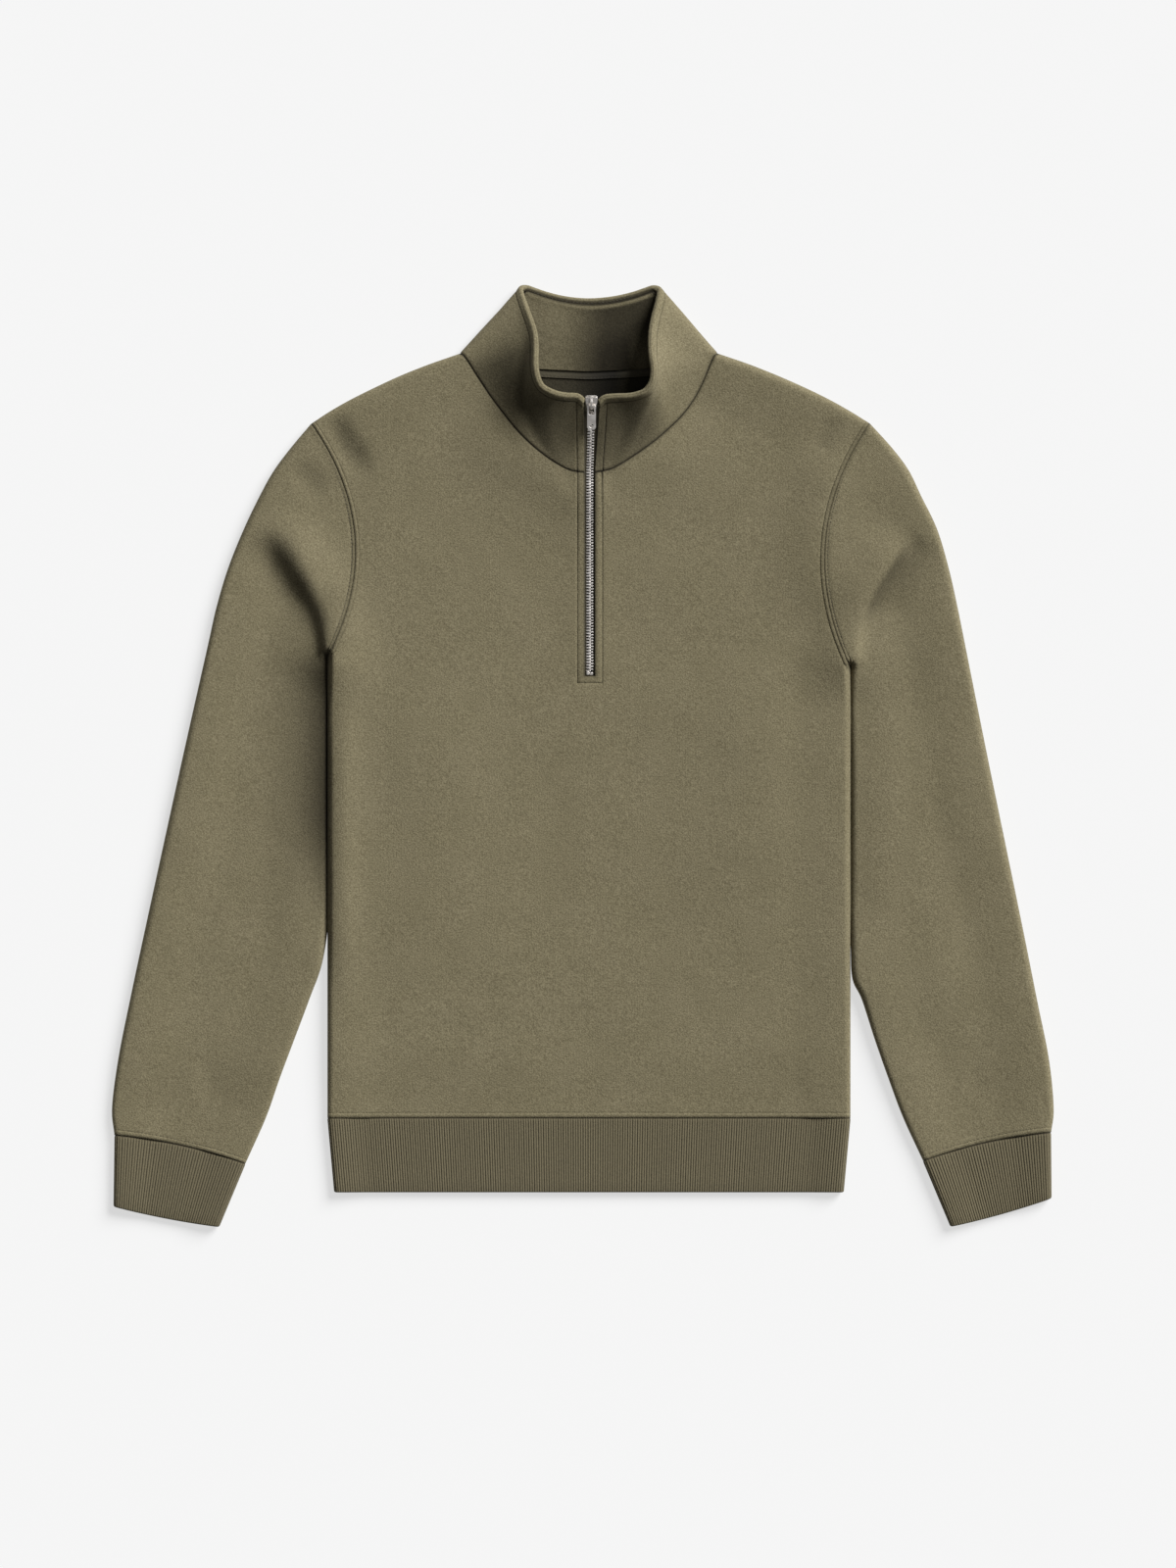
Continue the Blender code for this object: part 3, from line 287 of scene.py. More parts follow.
# heights of the middle of the upper and the lower wall
def wallHeights(points, sleeveOf=None):
    wall, gap = garment["wall"], garment["foldGap"]
    depth = np.min([nearPath(path, points)[0] for path in foldPaths], axis=0)
    half = halfThickness(points, sleeveOf)
    rise = half - wall / 2
    share = np.clip((depth - wall / 2 - garment["foldEase"]) / rise, 0.0, 1.0)
    rounding = np.sqrt(1.0 - (1.0 - share) ** 2)
    lower = half - gap / 2 - (rise - gap / 2) * rounding
    for side in sides:
        away = np.linalg.norm(points[..., :2] - (side["sign"] * garment["sideX"], side["underarmY"]), axis=-1)
        lower = lower + garment["underarmLift"] * rounding * np.exp(-((away / garment["underarmReach"]) ** 2))
    settled = smoothstep(share)
    lower = lower + creaseHeight(points, backCreases) * settled
    crown = half + gap / 2 + (rise - gap / 2) * rounding
    drawn = smoothstep((points[..., 1] - garment["hemSeamY"]) / garment["drawnIn"])
    layered = garment["hemLayered"] + (garment["layered"] - garment["hemLayered"]) * drawn
    sink = (2 * half - wall / 2 - layered) * smoothstep((depth - half) / garment["settle"])
    form = creaseHeight(points, creases) + unevenHeight(points)
    upper = np.maximum(crown - sink + form * settled, lower + (wall + 0.3) * settled)
    return upper, lower


def shoulderPath(side):
    return movedLeft(curve(side["shoulder"]), -side["sign"] * garment["wall"] / 2)


def armhole(side, shares, gap=0.0):
    tip = shoulderPath(side)[-1]
    underarm = np.array([side["sign"] * (garment["sideX"] - seamInset), side["underarmY"]])
    chord = underarm - tip
    inward = np.array([chord[1], -chord[0]]) * side["sign"] / np.linalg.norm(chord)
    shares = np.asarray(shares)[:, None]
    bow = garment["armholeBow"] * 4 * shares * (1 - shares)
    wider = 1.0 + 2.5 * smoothstep((shares - 0.6) / 0.25)
    return tip + chord * shares + inward * (bow - gap * wider)


def neckPath(side, points):
    return curve(np.vstack([shoulderPath(side)[0], points]))


# the left (-1) or right (1) edge of the zip's opening
def slitX(sign):
    return garment["zipX"] + sign * garment["slitHalf"]


def frontNeck(side):
    return neckPath(side, side["neck"] + ((slitX(side["sign"]), garment["neckY"]),))


def backNeck(side):
    inner = ((side["sign"] * 99.0, 697.2), (side["sign"] * 80.0, 690.6), (side["sign"] * 50.0, 685.4))
    return neckPath(side, inner + ((slitX(side["sign"]), garment["backNeckY"]),))


# the wall beside a seam: its edge rolls in, the doubled cloth stands up, the stitching sinks in
def seamRelief(away, stitch=None, lip=0.5, groove=0.6, edge=0.9):
    relief = -edge * np.exp(-((away / 0.7) ** 2))
    if stitch:
        relief += lip * smoothstep(away / 1.0) * smoothstep((stitch + 0.3 - away) / 0.9)
        relief -= groove * np.exp(-((away - stitch) / 0.55) ** 2)
    return relief


# places from 0 to a length: close together by both ends and even between
def spaced(length, near, far, step):
    near, far = np.array(near), length - np.array(far)[::-1]
    count = max(3, round((far[0] - near[-1]) / step) + 1)
    return np.concatenate([near, np.linspace(near[-1], far[0], count)[1:-1], far])


stitching = {"armhole": 3.0, "sleeve": 2.5, "hem": 4.0, "zip": 5.9, "zipFoot": 5.7,
             "pitch": 3.0, "length": 1.9, "thread": 0.55, "sunk": 0.40}

edgeSteps = {
    "seam": (0, 0.35, 0.7, 1.1, 1.5, 1.9, 2.3, 2.65, 3.0, 3.35, 3.7, 4.3, 5.2, 6.5, 8.5),
    "hem": (0, 0.35, 0.8, 1.4, 2.2, 2.9, 3.35, 3.7, 4.0, 4.3, 4.65, 5.2, 6.4, 8.5),
    "neck": (0, 0.35, 0.75, 1.3, 2.0, 2.9, 4.0, 5.4, 7.2),
    "zip": (0, 0.4, 1.0, 2.0, 3.4, 4.6, 5.2, 5.6, 5.9, 6.2, 6.6, 7.3, 8.6, 10.5),
    "plain": (0, 0.8, 2.0),
    "fold": (0.0, 0.4, 0.9, 1.6, 2.4, 3.3, 4.4, 5.8, 8.0, 11.0),
}


def panelColumns(step):
    width = garment["sideX"] - garment["wall"] / 2 - garment["seamGap"] / 2 - garment["slitHalf"]
    corner = garment["neckColumn"] * width
    outer = spaced(corner, edgeSteps["seam"], edgeSteps["plain"], step)
    inner = spaced(width - corner, edgeSteps["plain"], edgeSteps["zip"], step)
    return np.concatenate([outer, corner + inner[1:]]) / width


def panelRows(step, slit):
    zipFoot = garment["hemSeamY"] + garment["seamGap"] / 2
    length = garment["neckY"] - zipFoot
    underarm = garment["underarmRow"] * length
    low = spaced(underarm, edgeSteps["hem"], edgeSteps["plain"], step)
    high = underarm + spaced(length - underarm, edgeSteps["plain"], edgeSteps["neck"], step)
    rows = np.concatenate([low, high[1:]])
    foot = garment["slitFootY"] - zipFoot
    if slit:
        close = foot + np.array([-9, -7.4, -6.6, -6.1, -5.7, -5.3, -4.8, -3.6, -2, -1, -0.4, 0, 0.8, 2])
        rows = np.sort(np.concatenate([rows[abs(rows - foot + 3.5) > 7.5], close]))
    return rows / length, int(np.searchsorted(rows, foot - 1e-6))


def halfPlan(side, neck, rows, columns):
    edgeX = side["sign"] * (garment["sideX"] - seamInset)
    zipX = slitX(side["sign"])
    hemY = garment["hemSeamY"] + garment["seamGap"] / 2
    below = rows[rows < garment["underarmRow"] - 1e-9] / garment["underarmRow"]
    up = (rows[len(below):] - garment["underarmRow"]) / (1.0 - garment["underarmRow"])
    sideY = hemY + (side["underarmY"] - hemY) * below
    near = np.vstack([np.column_stack([np.full(len(below), edgeX), sideY]),
                      armhole(side, 1.0 - np.clip(up, 0.0, 1.0))])
    far = np.column_stack([np.full(len(rows), zipX), hemY + (neck[-1, 1] - hemY) * rows])
    corner = garment["neckColumn"]
    top = np.vstack([along(shoulderPath(side)[::-1], columns[columns < corner] / corner),
                     along(neck, (columns[columns >= corner] - corner) / (1 - corner))])
    low = np.column_stack([edgeX + (zipX - edgeX) * columns, np.full(len(columns), hemY)])
    u, v = columns[None, :, None], rows[:, None, None]
    blend = (1 - v) * low + v * top + (1 - u) * near[:, None] + u * far[:, None]
    corners = (1 - u) * ((1 - v) * low[0] + v * top[0]) + u * ((1 - v) * low[-1] + v * top[-1])
    return blend - corners


# down one side of the zip's opening on the front and up the other, this far outside it
def roundSlit(beside=0.0, below=0.0):
    left, right = slitX(-1) - beside, slitX(1) + beside
    foot = garment["slitFootY"] - below
    return np.array([(left, garment["neckY"]), (left, foot), (right, foot), (right, garment["neckY"])])


slitPath = roundSlit()
zipStitchPath = roundSlit(stitching["zip"], stitching["zipFoot"])
armholePaths = [armhole(side, np.linspace(0, 1, 60)) for side in sides]
neckPaths = [frontNeck(side) for side in sides]


# painted shade: how much darker the cloth is painted in a seam and along the stitching beside it, as shade in the
# groove
def seamPaintedShade(away, stitch=None, deep=1.0, groove=0.45):
    dark = deep * np.exp(-((away / 0.75) ** 2)) + 0.25 * np.exp(-((away / 2.0) ** 2))
    if stitch:
        dark = dark + groove * np.exp(-(((away - stitch) / 0.5) ** 2))
    return dark


# painted shade deep in the folds and where the body shades the left sleeve beside it: dark falls off over left and
# right of a path
paintedShadeSpots = (
    {"dark": 0.46, "left": 4, "right": 26, "ends": (0.5, 0.3),
     "path": ((-268, 564), (-257, 545), (-245, 526), (-232, 505), (-223, 486), (-219, 464), (-219, 450))},
    {"dark": 0.26, "left": 9, "right": 18, "ends": (0.45, 0.45), "path": ((-265, 556), (-252, 537), (-240, 520))},
    {"dark": 0.80, "left": 2, "right": 30, "ends": (0.14, 0.45), "path": ((-219, 470), (-219, 330), (-219, 205))},
    {"dark": 0.18, "left": 14, "right": 3, "ends": (0.1, 0.4), "path": ((-219, 440), (-219, 330), (-219, 90))},
    {"dark": 0.20, "left": 22, "right": 4, "ends": (0.3, 0.3), "path": ((-219, 520), (-219, 480), (-219, 440))},
    {"dark": 0.52, "left": 2, "right": 14, "ends": (0.3, 0.25),
     "path": ((226, 470), (240, 502), (258, 530), (269, 550))},
    {"dark": 0.42, "left": 9, "right": 9, "ends": (0.3, 0.5), "path": ((-216, 651), (-203, 626), (-178, 592))},
    {"dark": 0.14, "left": 10, "right": 10, "path": ((-247, 614), (-234, 596), (-220, 576))},
    {"dark": 0.16, "left": 8, "right": 8, "path": ((204, 650), (200, 634), (193, 614))},
)


# the painted shade of these spots at each point
def softShade(points):
    total = np.zeros(points.shape[:-1])
    for spot in paintedShadeSpots:
        away, turn, share = nearPath(curve(spot["path"], 4), points)
        reach = np.where(turn > 0, spot["left"], spot["right"])
        total += spot["dark"] * endFade(spot, share) * np.exp(-((away / reach) ** 2))
    return total


# painted shade on the front: in its seams, along the zip's topstitching and in its folds
def frontPaintedShade(points):
    dark = softShade(points) + seamPaintedShade(points[..., 1] - garment["hemSeamY"], stitching["hem"])
    for path in armholePaths:
        dark = dark + seamPaintedShade(nearPath(path, points)[0], stitching["armhole"])
    for path in neckPaths:
        dark = dark + seamPaintedShade(nearPath(path, points)[0])
    dark = dark + seamPaintedShade(nearPath(slitPath, points)[0], deep=0.5)
    return dark + 0.8 * np.exp(-((nearPath(zipStitchPath, points)[0] / 0.55) ** 2))


# shares of painted shade: at the left, how much more at the right, and the share taken back further right
neckShadeShares = {"left": 0.42, "more": 0.58, "moreX": -34.0, "moreOver": 52.0,
           "back": 0.4, "backX": 20.0, "backOver": 14.0}


# painted shade: the inside of the neck is painted darker where the collar's shade falls on it, deeper towards the
# right
def neckShade(points):
    deep = neckShadeShares["left"] + neckShadeShares["more"] * smoothstep((points[..., 0] - neckShadeShares["moreX"]) / neckShadeShares["moreOver"])
    return deep * (1.0 - neckShadeShares["back"] * smoothstep((points[..., 0] - neckShadeShares["backX"]) / neckShadeShares["backOver"]))


def frontRelief(points):
    relief = seamRelief(points[..., 1] - garment["hemSeamY"], stitching["hem"])
    for path in armholePaths:
        relief += seamRelief(nearPath(path, points)[0], stitching["armhole"])
    for path in neckPaths:
        relief += seamRelief(nearPath(path, points)[0], edge=0.7)
    relief += 0.7 * seamRelief(nearPath(slitPath, points)[0], lip=0.0, edge=0.6)
    away = nearPath(zipStitchPath, points)[0]
    relief -= 0.75 * np.exp(-((away / 0.6) ** 2))
    return relief


def gridFaces(rows, columns, ring=False):
    wide = columns if ring else columns - 1
    i, j = np.meshgrid(np.arange(rows - 1), np.arange(wide), indexing="ij")
    k = (j + 1) % columns
    return np.stack([i * columns + j, i * columns + k, (i + 1) * columns + k, (i + 1) * columns + j], -1)


def addObject(name, data):
    made = bpy.data.objects.new(name, data)
    scene.collection.objects.link(made)
    return made


def roundEdges(piece, name, width, angle):
    edge = piece.modifiers.new(name, 'BEVEL')
    edge.width = width * mm
    edge.segments = 2
    edge.limit_method = 'ANGLE'
    edge.angle_limit = math.radians(angle)


# a mesh object from points in mm, with its own run of cloth, in metres, as its UV map
def makePiece(name, points, faces, material, clothMap=None, shade=None, shadeName="seamShade"):
    mesh = bpy.data.meshes.new(name)
    mesh.from_pydata((points.reshape(-1, 3) + tableZero) * mm, [], faces.reshape(-1, faces.shape[-1]).tolist())
    mesh.materials.append(material)
    if clothMap is not None:
        corners = np.zeros(len(mesh.loops), int)
        mesh.loops.foreach_get("vertex_index", corners)
        layer = mesh.uv_layers.new(name="cloth")
        layer.data.foreach_set("uv", (clothMap.reshape(-1, 2)[corners] * mm).ravel())
    if shade is not None:
        layer = mesh.attributes.new(shadeName, 'FLOAT', 'POINT')
        layer.data.foreach_set("value", np.clip(shade, 0.0, 1.0).ravel())
    mesh.shade_smooth()
    return addObject(name, mesh)


def thicken(piece, wall, rounded=0.0, inside=None):
    solid = piece.modifiers.new("wall", 'SOLIDIFY')
    solid.thickness = wall * mm
    solid.offset = 0.0
    solid.use_even_offset = False
    if inside:
        piece.data.materials.append(inside)
        solid.material_offset = 1
    if rounded:
        roundEdges(piece, "rolledEdge", rounded, 50)
    return piece


def faceOut(piece, upward=0):
    shell = bmesh.new()
    shell.from_mesh(piece.data)
    bmesh.ops.delete(shell, geom=[v for v in shell.verts if not v.link_faces], context='VERTS')
    bmesh.ops.recalc_face_normals(shell, faces=shell.faces)
    if upward * sum(face.normal.z for face in shell.faces) < 0:
        bmesh.ops.reverse_faces(shell, faces=shell.faces)
    shell.to_mesh(piece.data)
    shell.free()


def addPanel(name, neck, slit, layer, step, material, inside):
    columns = panelColumns(step)
    rows, slitRow = panelRows(step, slit)
    left, right = (halfPlan(side, neck(side), rows, columns) for side in sides)
    strip = np.linspace(0, 1, 6)[1:-1, None]
    between = left[:, -1:] + (right[:, -1:] - left[:, -1:]) * strip[None]
    plan = np.concatenate([left, between, right[:, ::-1]], axis=1)
    height = wallHeights(plan)[layer]
    if layer == 0:
        height = height + frontRelief(plan)
    points = np.concatenate([plan, height[..., None]], axis=2)
    shade = frontPaintedShade(plan) if layer == 0 else neckShade(plan)
    faces = gridFaces(*plan.shape[:2])
    if slit:
        first = left.shape[1] - 1
        keep = np.ones(faces.shape[:2], bool)
        keep[slitRow:, first:first + len(strip) + 1] = False
        faces = faces[keep]
    piece = makePiece(name, points, faces, material, plan, shade, ("seamShade", "insideShade")[layer])
    faceOut(piece, 1 - 2 * layer)
    return thicken(piece, garment["wall"], rounded=0.5, inside=inside)


def sleeveRings(side, step):
    length = garment["sleeveLength"]
    rows = spaced(length, edgeSteps["seam"], edgeSteps["hem"], step) / length
    outer = along(movedLeft(curve(side["outer"]), -side["sign"] * garment["wall"] / 2), rows)
    inner = along(movedLeft(curve(side["inner"]), side["sign"] * seamInset), rows)
    inner[:, 0] -= side["sign"] * side["pushedIn"] * besideBody(inner, side)
    fold = np.array(edgeSteps["fold"])
    rings, maps = [], []
    for row, start, end in zip(rows, outer, inner):
        end = end + math.exp(-((row * length / 6.0) ** 2)) * np.array([-1.8 * side["sign"], 1.2])
        chord = end - start
        width = np.linalg.norm(chord)
        first, last = fold / width, 1.0 - fold[::-1] / width
        across = np.concatenate([first, np.linspace(first[-1], last[0], 58)[1:-1], last])
        up = np.array([chord[1], -chord[0]]) * side["sign"] / width
        fade = 1.0 - np.clip(row / (0.46 * (1.0 - across) + 1e-6), 0.0, 1.0)
        bow = 4 * across * (1 - across) * (garment["armholeBow"] * fade**1.5
                                           - garment["cuffBow"][0] * smoothstep((row - 0.8) / 0.2))
        plan = start + chord * across[:, None] + up * bow[:, None]
        shift = np.exp(-((row * length / 12.0) ** 2))
        seam = armhole(side, across, 0.12)
        seam = seam + smoothstep((across - 0.9) / 0.1)[:, None] * (end - seam[-1])
        own = start + chord * across[:, None] + up * (4 * across * (1 - across) * garment["armholeBow"])[:, None]
        plan = plan + shift * (seam - own) if row else seam
        rings.append(plan)
        maps.append(np.column_stack([across * width, np.full(len(across), -row * length)]))
    return rows, np.array(rings), np.array(maps)


def addSleeve(side, material):
    rows, plan, clothMap = sleeveRings(side, 3.8)
    upper, lower = wallHeights(plan, side)
    half = halfThickness(plan, side)
    upper[:, [0, -1]] = half[:, [0, -1]]
    seamAway = nearPath(armholePaths[sides.index(side)], plan)[0]
    upper += seamRelief(seamAway, stitching["sleeve"], lip=0.15, groove=0.35)
    cuffAway = ((1.0 - rows) * garment["sleeveLength"])[:, None]
    upper += seamRelief(cuffAway, stitching["hem"]) * smoothstep((upper - half) / 2.0)
    # painted shade on the sleeve: its seams at the armhole and cuff, and its folds
    shade = seamPaintedShade(seamAway, stitching["sleeve"], groove=0.3) + seamPaintedShade(cuffAway, stitching["hem"])
    shade = shade + softShade(plan)
    top = np.concatenate([plan, upper[..., None]], axis=2)
    below = np.concatenate([plan, lower[..., None]], axis=2)[:, -2:0:-1]
    points = np.concatenate([top, below], axis=1)
    around = clothMap[:, -2:0:-1] * (-1, 1)
    faces = gridFaces(*points.shape[:2], ring=True)
    piece = makePiece("sleeveCloth_" + side["name"], points, faces, material,
                      np.concatenate([clothMap, around], axis=1),
                      np.concatenate([shade, 0 * shade[:, -2:0:-1]], axis=1))
    faceOut(piece)
    return thicken(piece, garment["wall"], rounded=0.5)


ribbing = {"pitch": 2.03, "height": 0.62, "wall": 3.0, "layered": 6.6, "settle": 30.0, "samples": 6,
           "secondDepth": 0.82}


# a band's outer section all round: place across, height, way out, and depth of the furrow
def ribSection(halfWidth, ribs):
    radius = garment["ribFoldHalf"]
    turn = math.pi / 2 * radius
    flat = 2 * (halfWidth - radius)
    total = 2 * turn + flat
    place = total * np.arange(ribbing["samples"] * ribs + 1) / (ribbing["samples"] * ribs)
    near = np.minimum(place, total - place)
    side = np.where(place < total / 2, -1.0, 1.0)
    angle = np.clip(near / radius, 0.0, math.pi / 2)
    deep = np.maximum(near - turn, 0.0)
    sink = (2 * radius - ribbing["layered"]) * smoothstep(deep / ribbing["settle"])
    across = side * (halfWidth - radius * (1 - np.cos(angle)) - deep)
    height = radius + radius * np.sin(angle) - sink
    phase = place / total * ribs
    ridge = np.abs(np.sin(math.pi * phase)) ** 0.7
    depth = (1.0 - ridge) * np.where(np.round(phase) % 2 == 0, 1.0, ribbing["secondDepth"])
    top = np.column_stack([across, height, side * np.cos(angle), np.sin(angle), depth])
    below = top[-2:0:-1].copy()
    below[:, 1] = radius - radius * np.sin(angle[-2:0:-1])
    below[:, 3] *= -1.0
    return np.vstack([top, below])


def addRibBand(name, seam, edge, bow, material):
    seam, edge = np.array(seam), np.array(edge)
    ribs = round((np.linalg.norm(seam[1] - seam[0]) + np.linalg.norm(edge[1] - edge[0])) / 2 / ribbing["pitch"])
    drop = (edge.sum(axis=0) - seam.sum(axis=0)) / 2
    length = np.linalg.norm(drop)
    out = drop / length
    wall = ribbing["wall"]
    # a thin tongue reaches under the cloth, so nothing shows through the seam
    places = [(-2.0, 2.5), (-0.1, 2.4)] + [(place, 0.0) for place in (0.0, 0.5, 1.2, 2.2, 4.0, 8.0)]
    places += [(place, 0.0) for place in np.linspace(14.0, length - wall / 2, 6)]
    for angle in np.radians([30, 60, 90, 120, 150]):
        places.append((length - wall / 2 * (1 - math.sin(angle)), wall / 2 * (1 - math.cos(angle))))
    places += [(length - wall / 2, wall), (-2.0, wall)]
    rings, depths, maps = [], [], []
    for place, inset in places:
        share = place / length
        start, end = seam + (edge - seam) * share
        halfWidth = np.linalg.norm(end - start) / 2
        section = ribSection(halfWidth, ribs)
        gathered = 1.0 - 0.75 * math.exp(-((place / 1.3) ** 2))
        pressed = -0.5 * math.exp(-((place / 0.7) ** 2))
        lift = -ribbing["height"] * section[:, 4] * gathered * max(0.0, 1 - inset / 1.5) - inset + pressed
        across = section[:, 0] + section[:, 2] * lift
        height = section[:, 1] + section[:, 3] * lift
        way = (across / halfWidth + 1) / 2
        bowHere = bow[0] + (bow[1] - bow[0]) * share
        plan = start + (end - start) * way[:, None] + out * (4 * bowHere * way * (1 - way))[:, None]
        rings.append(np.column_stack([plan, height]))
        # ribDepth: 1 on the ribs, less in the furrows and by the seam, where the colour is painted darker as shade
        depths.append((1.0 - section[:, 4] * gathered) * (1 - 0.8 * math.exp(-((place / 0.8) ** 2))))
        maps.append(np.column_stack([across, np.full(len(across), -place)]))
    rings.append(rings[0])
    depths.append(depths[0])
    maps.append(maps[0])
    piece = makePiece(name, np.array(rings), gridFaces(len(rings), len(rings[0]), ring=True), material,
                      np.array(maps))
    depth = piece.data.attributes.new("ribDepth", 'FLOAT', 'POINT')
    depth.data.foreach_set("value", np.concatenate(depths))
    shell = bmesh.new()
    shell.from_mesh(piece.data)
    bmesh.ops.remove_doubles(shell, verts=shell.verts, dist=1e-7)
    bmesh.ops.recalc_face_normals(shell, faces=shell.faces)
    shell.to_mesh(piece.data)
    shell.free()
    return piece


collar = {"turn": 1.7, "tail": 2.4, "facingFoot": 3.4, "lip": 1.9, "lipReach": 4.5, "rimStitch": 4.2,
          "rimSeam": 14.0, "rimRow": -52.0, "neckGap": 0.6, "neckCornerRoom": 0.4, "neckCornerShare": 0.16}

# the rim's crest: place round the neck (1 and 2 are the shoulders, 0 and 3 the zip), then x, y, z
collarRim = (
    (0.00, -4.6, 661.5, 31.0), (0.09, -9.4, 666.3, 32.5), (0.24, -18.4, 666.6, 34.5),
    (0.41, -28.8, 668.3, 37.0), (0.54, -37.8, 672.4, 39.0), (0.66, -42.0, 679.3, 40.0),
    (0.77, -43.8, 691.5, 38.0), (0.87, -43.4, 707.1, 32.0), (0.93, -44.6, 720.9, 26.0),
    (0.96, -48.6, 733.6, 20.5), (0.985, -53.2, 746.5, 14.5), (1.00, -56.2, 757.0, 8.0),
    (1.02, -52.0, 759.0, 3.2), (1.05, -44.5, 756.4, 1.2), (1.14, -34.5, 753.0, 1.1),
    (1.30, -19.0, 749.4, 1.1), (1.50, 0.0, 747.8, 1.1), (1.70, 19.5, 749.4, 1.1),
    (1.86, 36.0, 753.0, 1.1), (1.95, 46.0, 756.4, 1.2), (1.98, 53.5, 759.0, 3.2),
    (2.00, 58.2, 757.0, 8.0), (2.015, 57.2, 748.5, 14.0), (2.04, 53.2, 733.0, 21.0),
    (2.08, 50.9, 719.0, 27.0), (2.14, 50.9, 703.0, 33.5), (2.24, 53.0, 689.0, 38.5),
    (2.36, 52.3, 677.5, 40.0), (2.48, 46.8, 669.2, 39.0), (2.62, 36.0, 666.0, 36.5),
    (2.80, 22.0, 665.9, 33.5), (2.92, 13.6, 665.2, 32.0), (3.00, 9.2, 661.5, 31.0),
)
neckShares = np.concatenate([[0, 0.02, 0.055], np.linspace(0.11, 1.0, 28)])


# the collar's lower edge in plan in three stretches: left front, back and right front
def neckRing():
    room = collar["neckGap"] + collar["neckCornerRoom"] * (1 - smoothstep(neckShares / collar["neckCornerShare"]))
    left, right = (movedLeft(along(frontNeck(side), neckShares), side["sign"] * -room[:, None])
                   for side in sides)
    halves = [along(backNeck(side), neckShares) for side in sides]
    back = movedLeft(np.vstack([halves[0], halves[1][::-1]]), collar["neckGap"])
    back[0] = left[0] = (back[0] + left[0]) / 2
    back[-1] = right[0] = (back[-1] + right[0]) / 2
    return left[::-1], back, right


def collarPlaces(count):
    close = np.array([0.0, 0.004, 0.008, 0.013, 0.019, 0.026, 0.035, 0.046, 0.06])
    zipClose = np.concatenate([[0.0, 0.003, 0.007, 0.013, 0.02], np.linspace(0.026, 0.13, 24)])
    stretches = [spaced(1.0, zipClose, close, 1.0 / count), 1 + spaced(1.0, close, close, 1.0 / count),
                 2 + spaced(1.0, close, zipClose, 1.0 / count)]
    return np.unique(np.concatenate(stretches).round(6))


def collarEdges(places):
    table = curve(collarRim)
    order = np.maximum.accumulate(table[:, 0])
    rim = pointsAt(places, order, table[:, 1:])
    seam = np.zeros((len(places), 3))
    for first, stretch in enumerate(neckRing()):
        inside = (places >= first) & (places <= first + 1)
        seam[inside, :2] = along(stretch, places[inside] - first)
    upper, lower = wallHeights(seam[:, :2])
    seam[:, 2] = np.where((places > 1) & (places < 2), lower, upper)
    seam[np.isin(places, (1.0, 2.0)), 2] = garment["foldHalf"]
    return seam, rim


# rows up the collar as lengths from its seam: close together at the seam and by the topstitching
def collarRows(length, foot, top):
    low = foot + np.array([0.0, 0.4, 0.9, 1.6, 2.6, 4.0, 6.0])
    high = length - top - np.array([0.0, 0.8, 1.7, 2.5, 3.1, 3.5, 3.9, 4.3, 4.7, 5.1, 5.6, 6.5, 8.0, 10.5])[::-1]
    return np.concatenate([low, np.linspace(low[-1], high[0], 16)[1:-1], high])


# the middle of the collar's outer wall, rows by stations
def collarSurface(places, rowPlaces):
    seam, rim = collarEdges(places)
    reach = rim - seam
    inset = collar["turn"] + garment["wall"] / 2
    top = rim - reach * (inset / np.linalg.norm(reach, axis=1))[:, None]
    reach = top - seam
    first = seam + reach * np.array([0.4, 0.4, 0.14])
    second = seam + reach * np.array([0.82, 0.82, 0.5])
    v = np.linspace(0.0, 1.0, 41)[:, None, None]
    fine = (1 - v) ** 3 * seam + 3 * (1 - v) ** 2 * v * first + 3 * (1 - v) * v**2 * second + v**3 * top
    surface, ups = [], []
    for column in fine.transpose(1, 0, 2):
        lengths = lengthsOf(column)
        up = rowPlaces(lengths[-1])
        surface.append(pointsAt(up, lengths, column))
        ups.append(np.column_stack([up, lengths[-1] - up]))
    return np.array(surface).transpose(1, 0, 2), np.array(ups).transpose(1, 0, 2)


# the way from the collar's outside to its inside, longer where it turns round a fold
def inwardOf(surface):
    step = unit(np.diff(surface, axis=1))
    before = np.concatenate([step[:, :1], step], axis=1)
    after = np.concatenate([step, step[:, -1:]], axis=1)
    turn = np.clip(np.linalg.norm(before + after, axis=2, keepdims=True) / 2, 0.8, 1.0)
    return unit(np.cross(before + after, np.gradient(surface, axis=0))) / turn


def zipEdgeX(points, sign):
    atNeck = slitX(sign)
    atRim = collarRim[0][1] if sign < 0 else collarRim[-1][1]
    return atNeck + (atRim - atNeck) * (points[..., 1] - garment["neckY"]) / (collarRim[0][2] - garment["neckY"])


# the topstitching beside the zip on the collar's outside: strength on its line, 0 away from it
def besideZip(surface, ups, places, strength, width):
    total = 0.0
    for sign, near in ((-1, places < 0.3), (1, places > 2.7)):
        away = abs(surface[..., 0] - zipEdgeX(surface, sign)) - stitching["zip"]
        under = smoothstep((ups[..., 1] - collar["rimStitch"] + 0.6) / 0.5)
        total = total + strength * near * under * np.exp(-((away / width) ** 2))
    return total


# how far the collar's outside stands out at its seam, its topstitching and its soft folds
def collarRelief(surface, ups, places):
    relief = seamRelief(ups[..., 0], edge=0.8)
    relief -= 0.5 * np.exp(-(((ups[..., 1] - collar["rimStitch"]) / 0.7) ** 2))
    relief += 0.2 * smoothstep((collar["rimStitch"] - ups[..., 1]) / 1.5)
    relief -= besideZip(surface, ups, places, 0.75, 0.6)
    up = ups[..., 0] / ups.sum(-1)
    for fold in collarFolds:
        across = (places - fold["place"] - fold["lean"] * (up - 0.5)) / fold["width"]
        relief += fold["high"] * np.exp(-(across**2)) * np.sin(math.pi * np.clip(up, 0, 1)) ** 0.8
    return relief + 0.35 * uneven(surface, 23.0, 5)


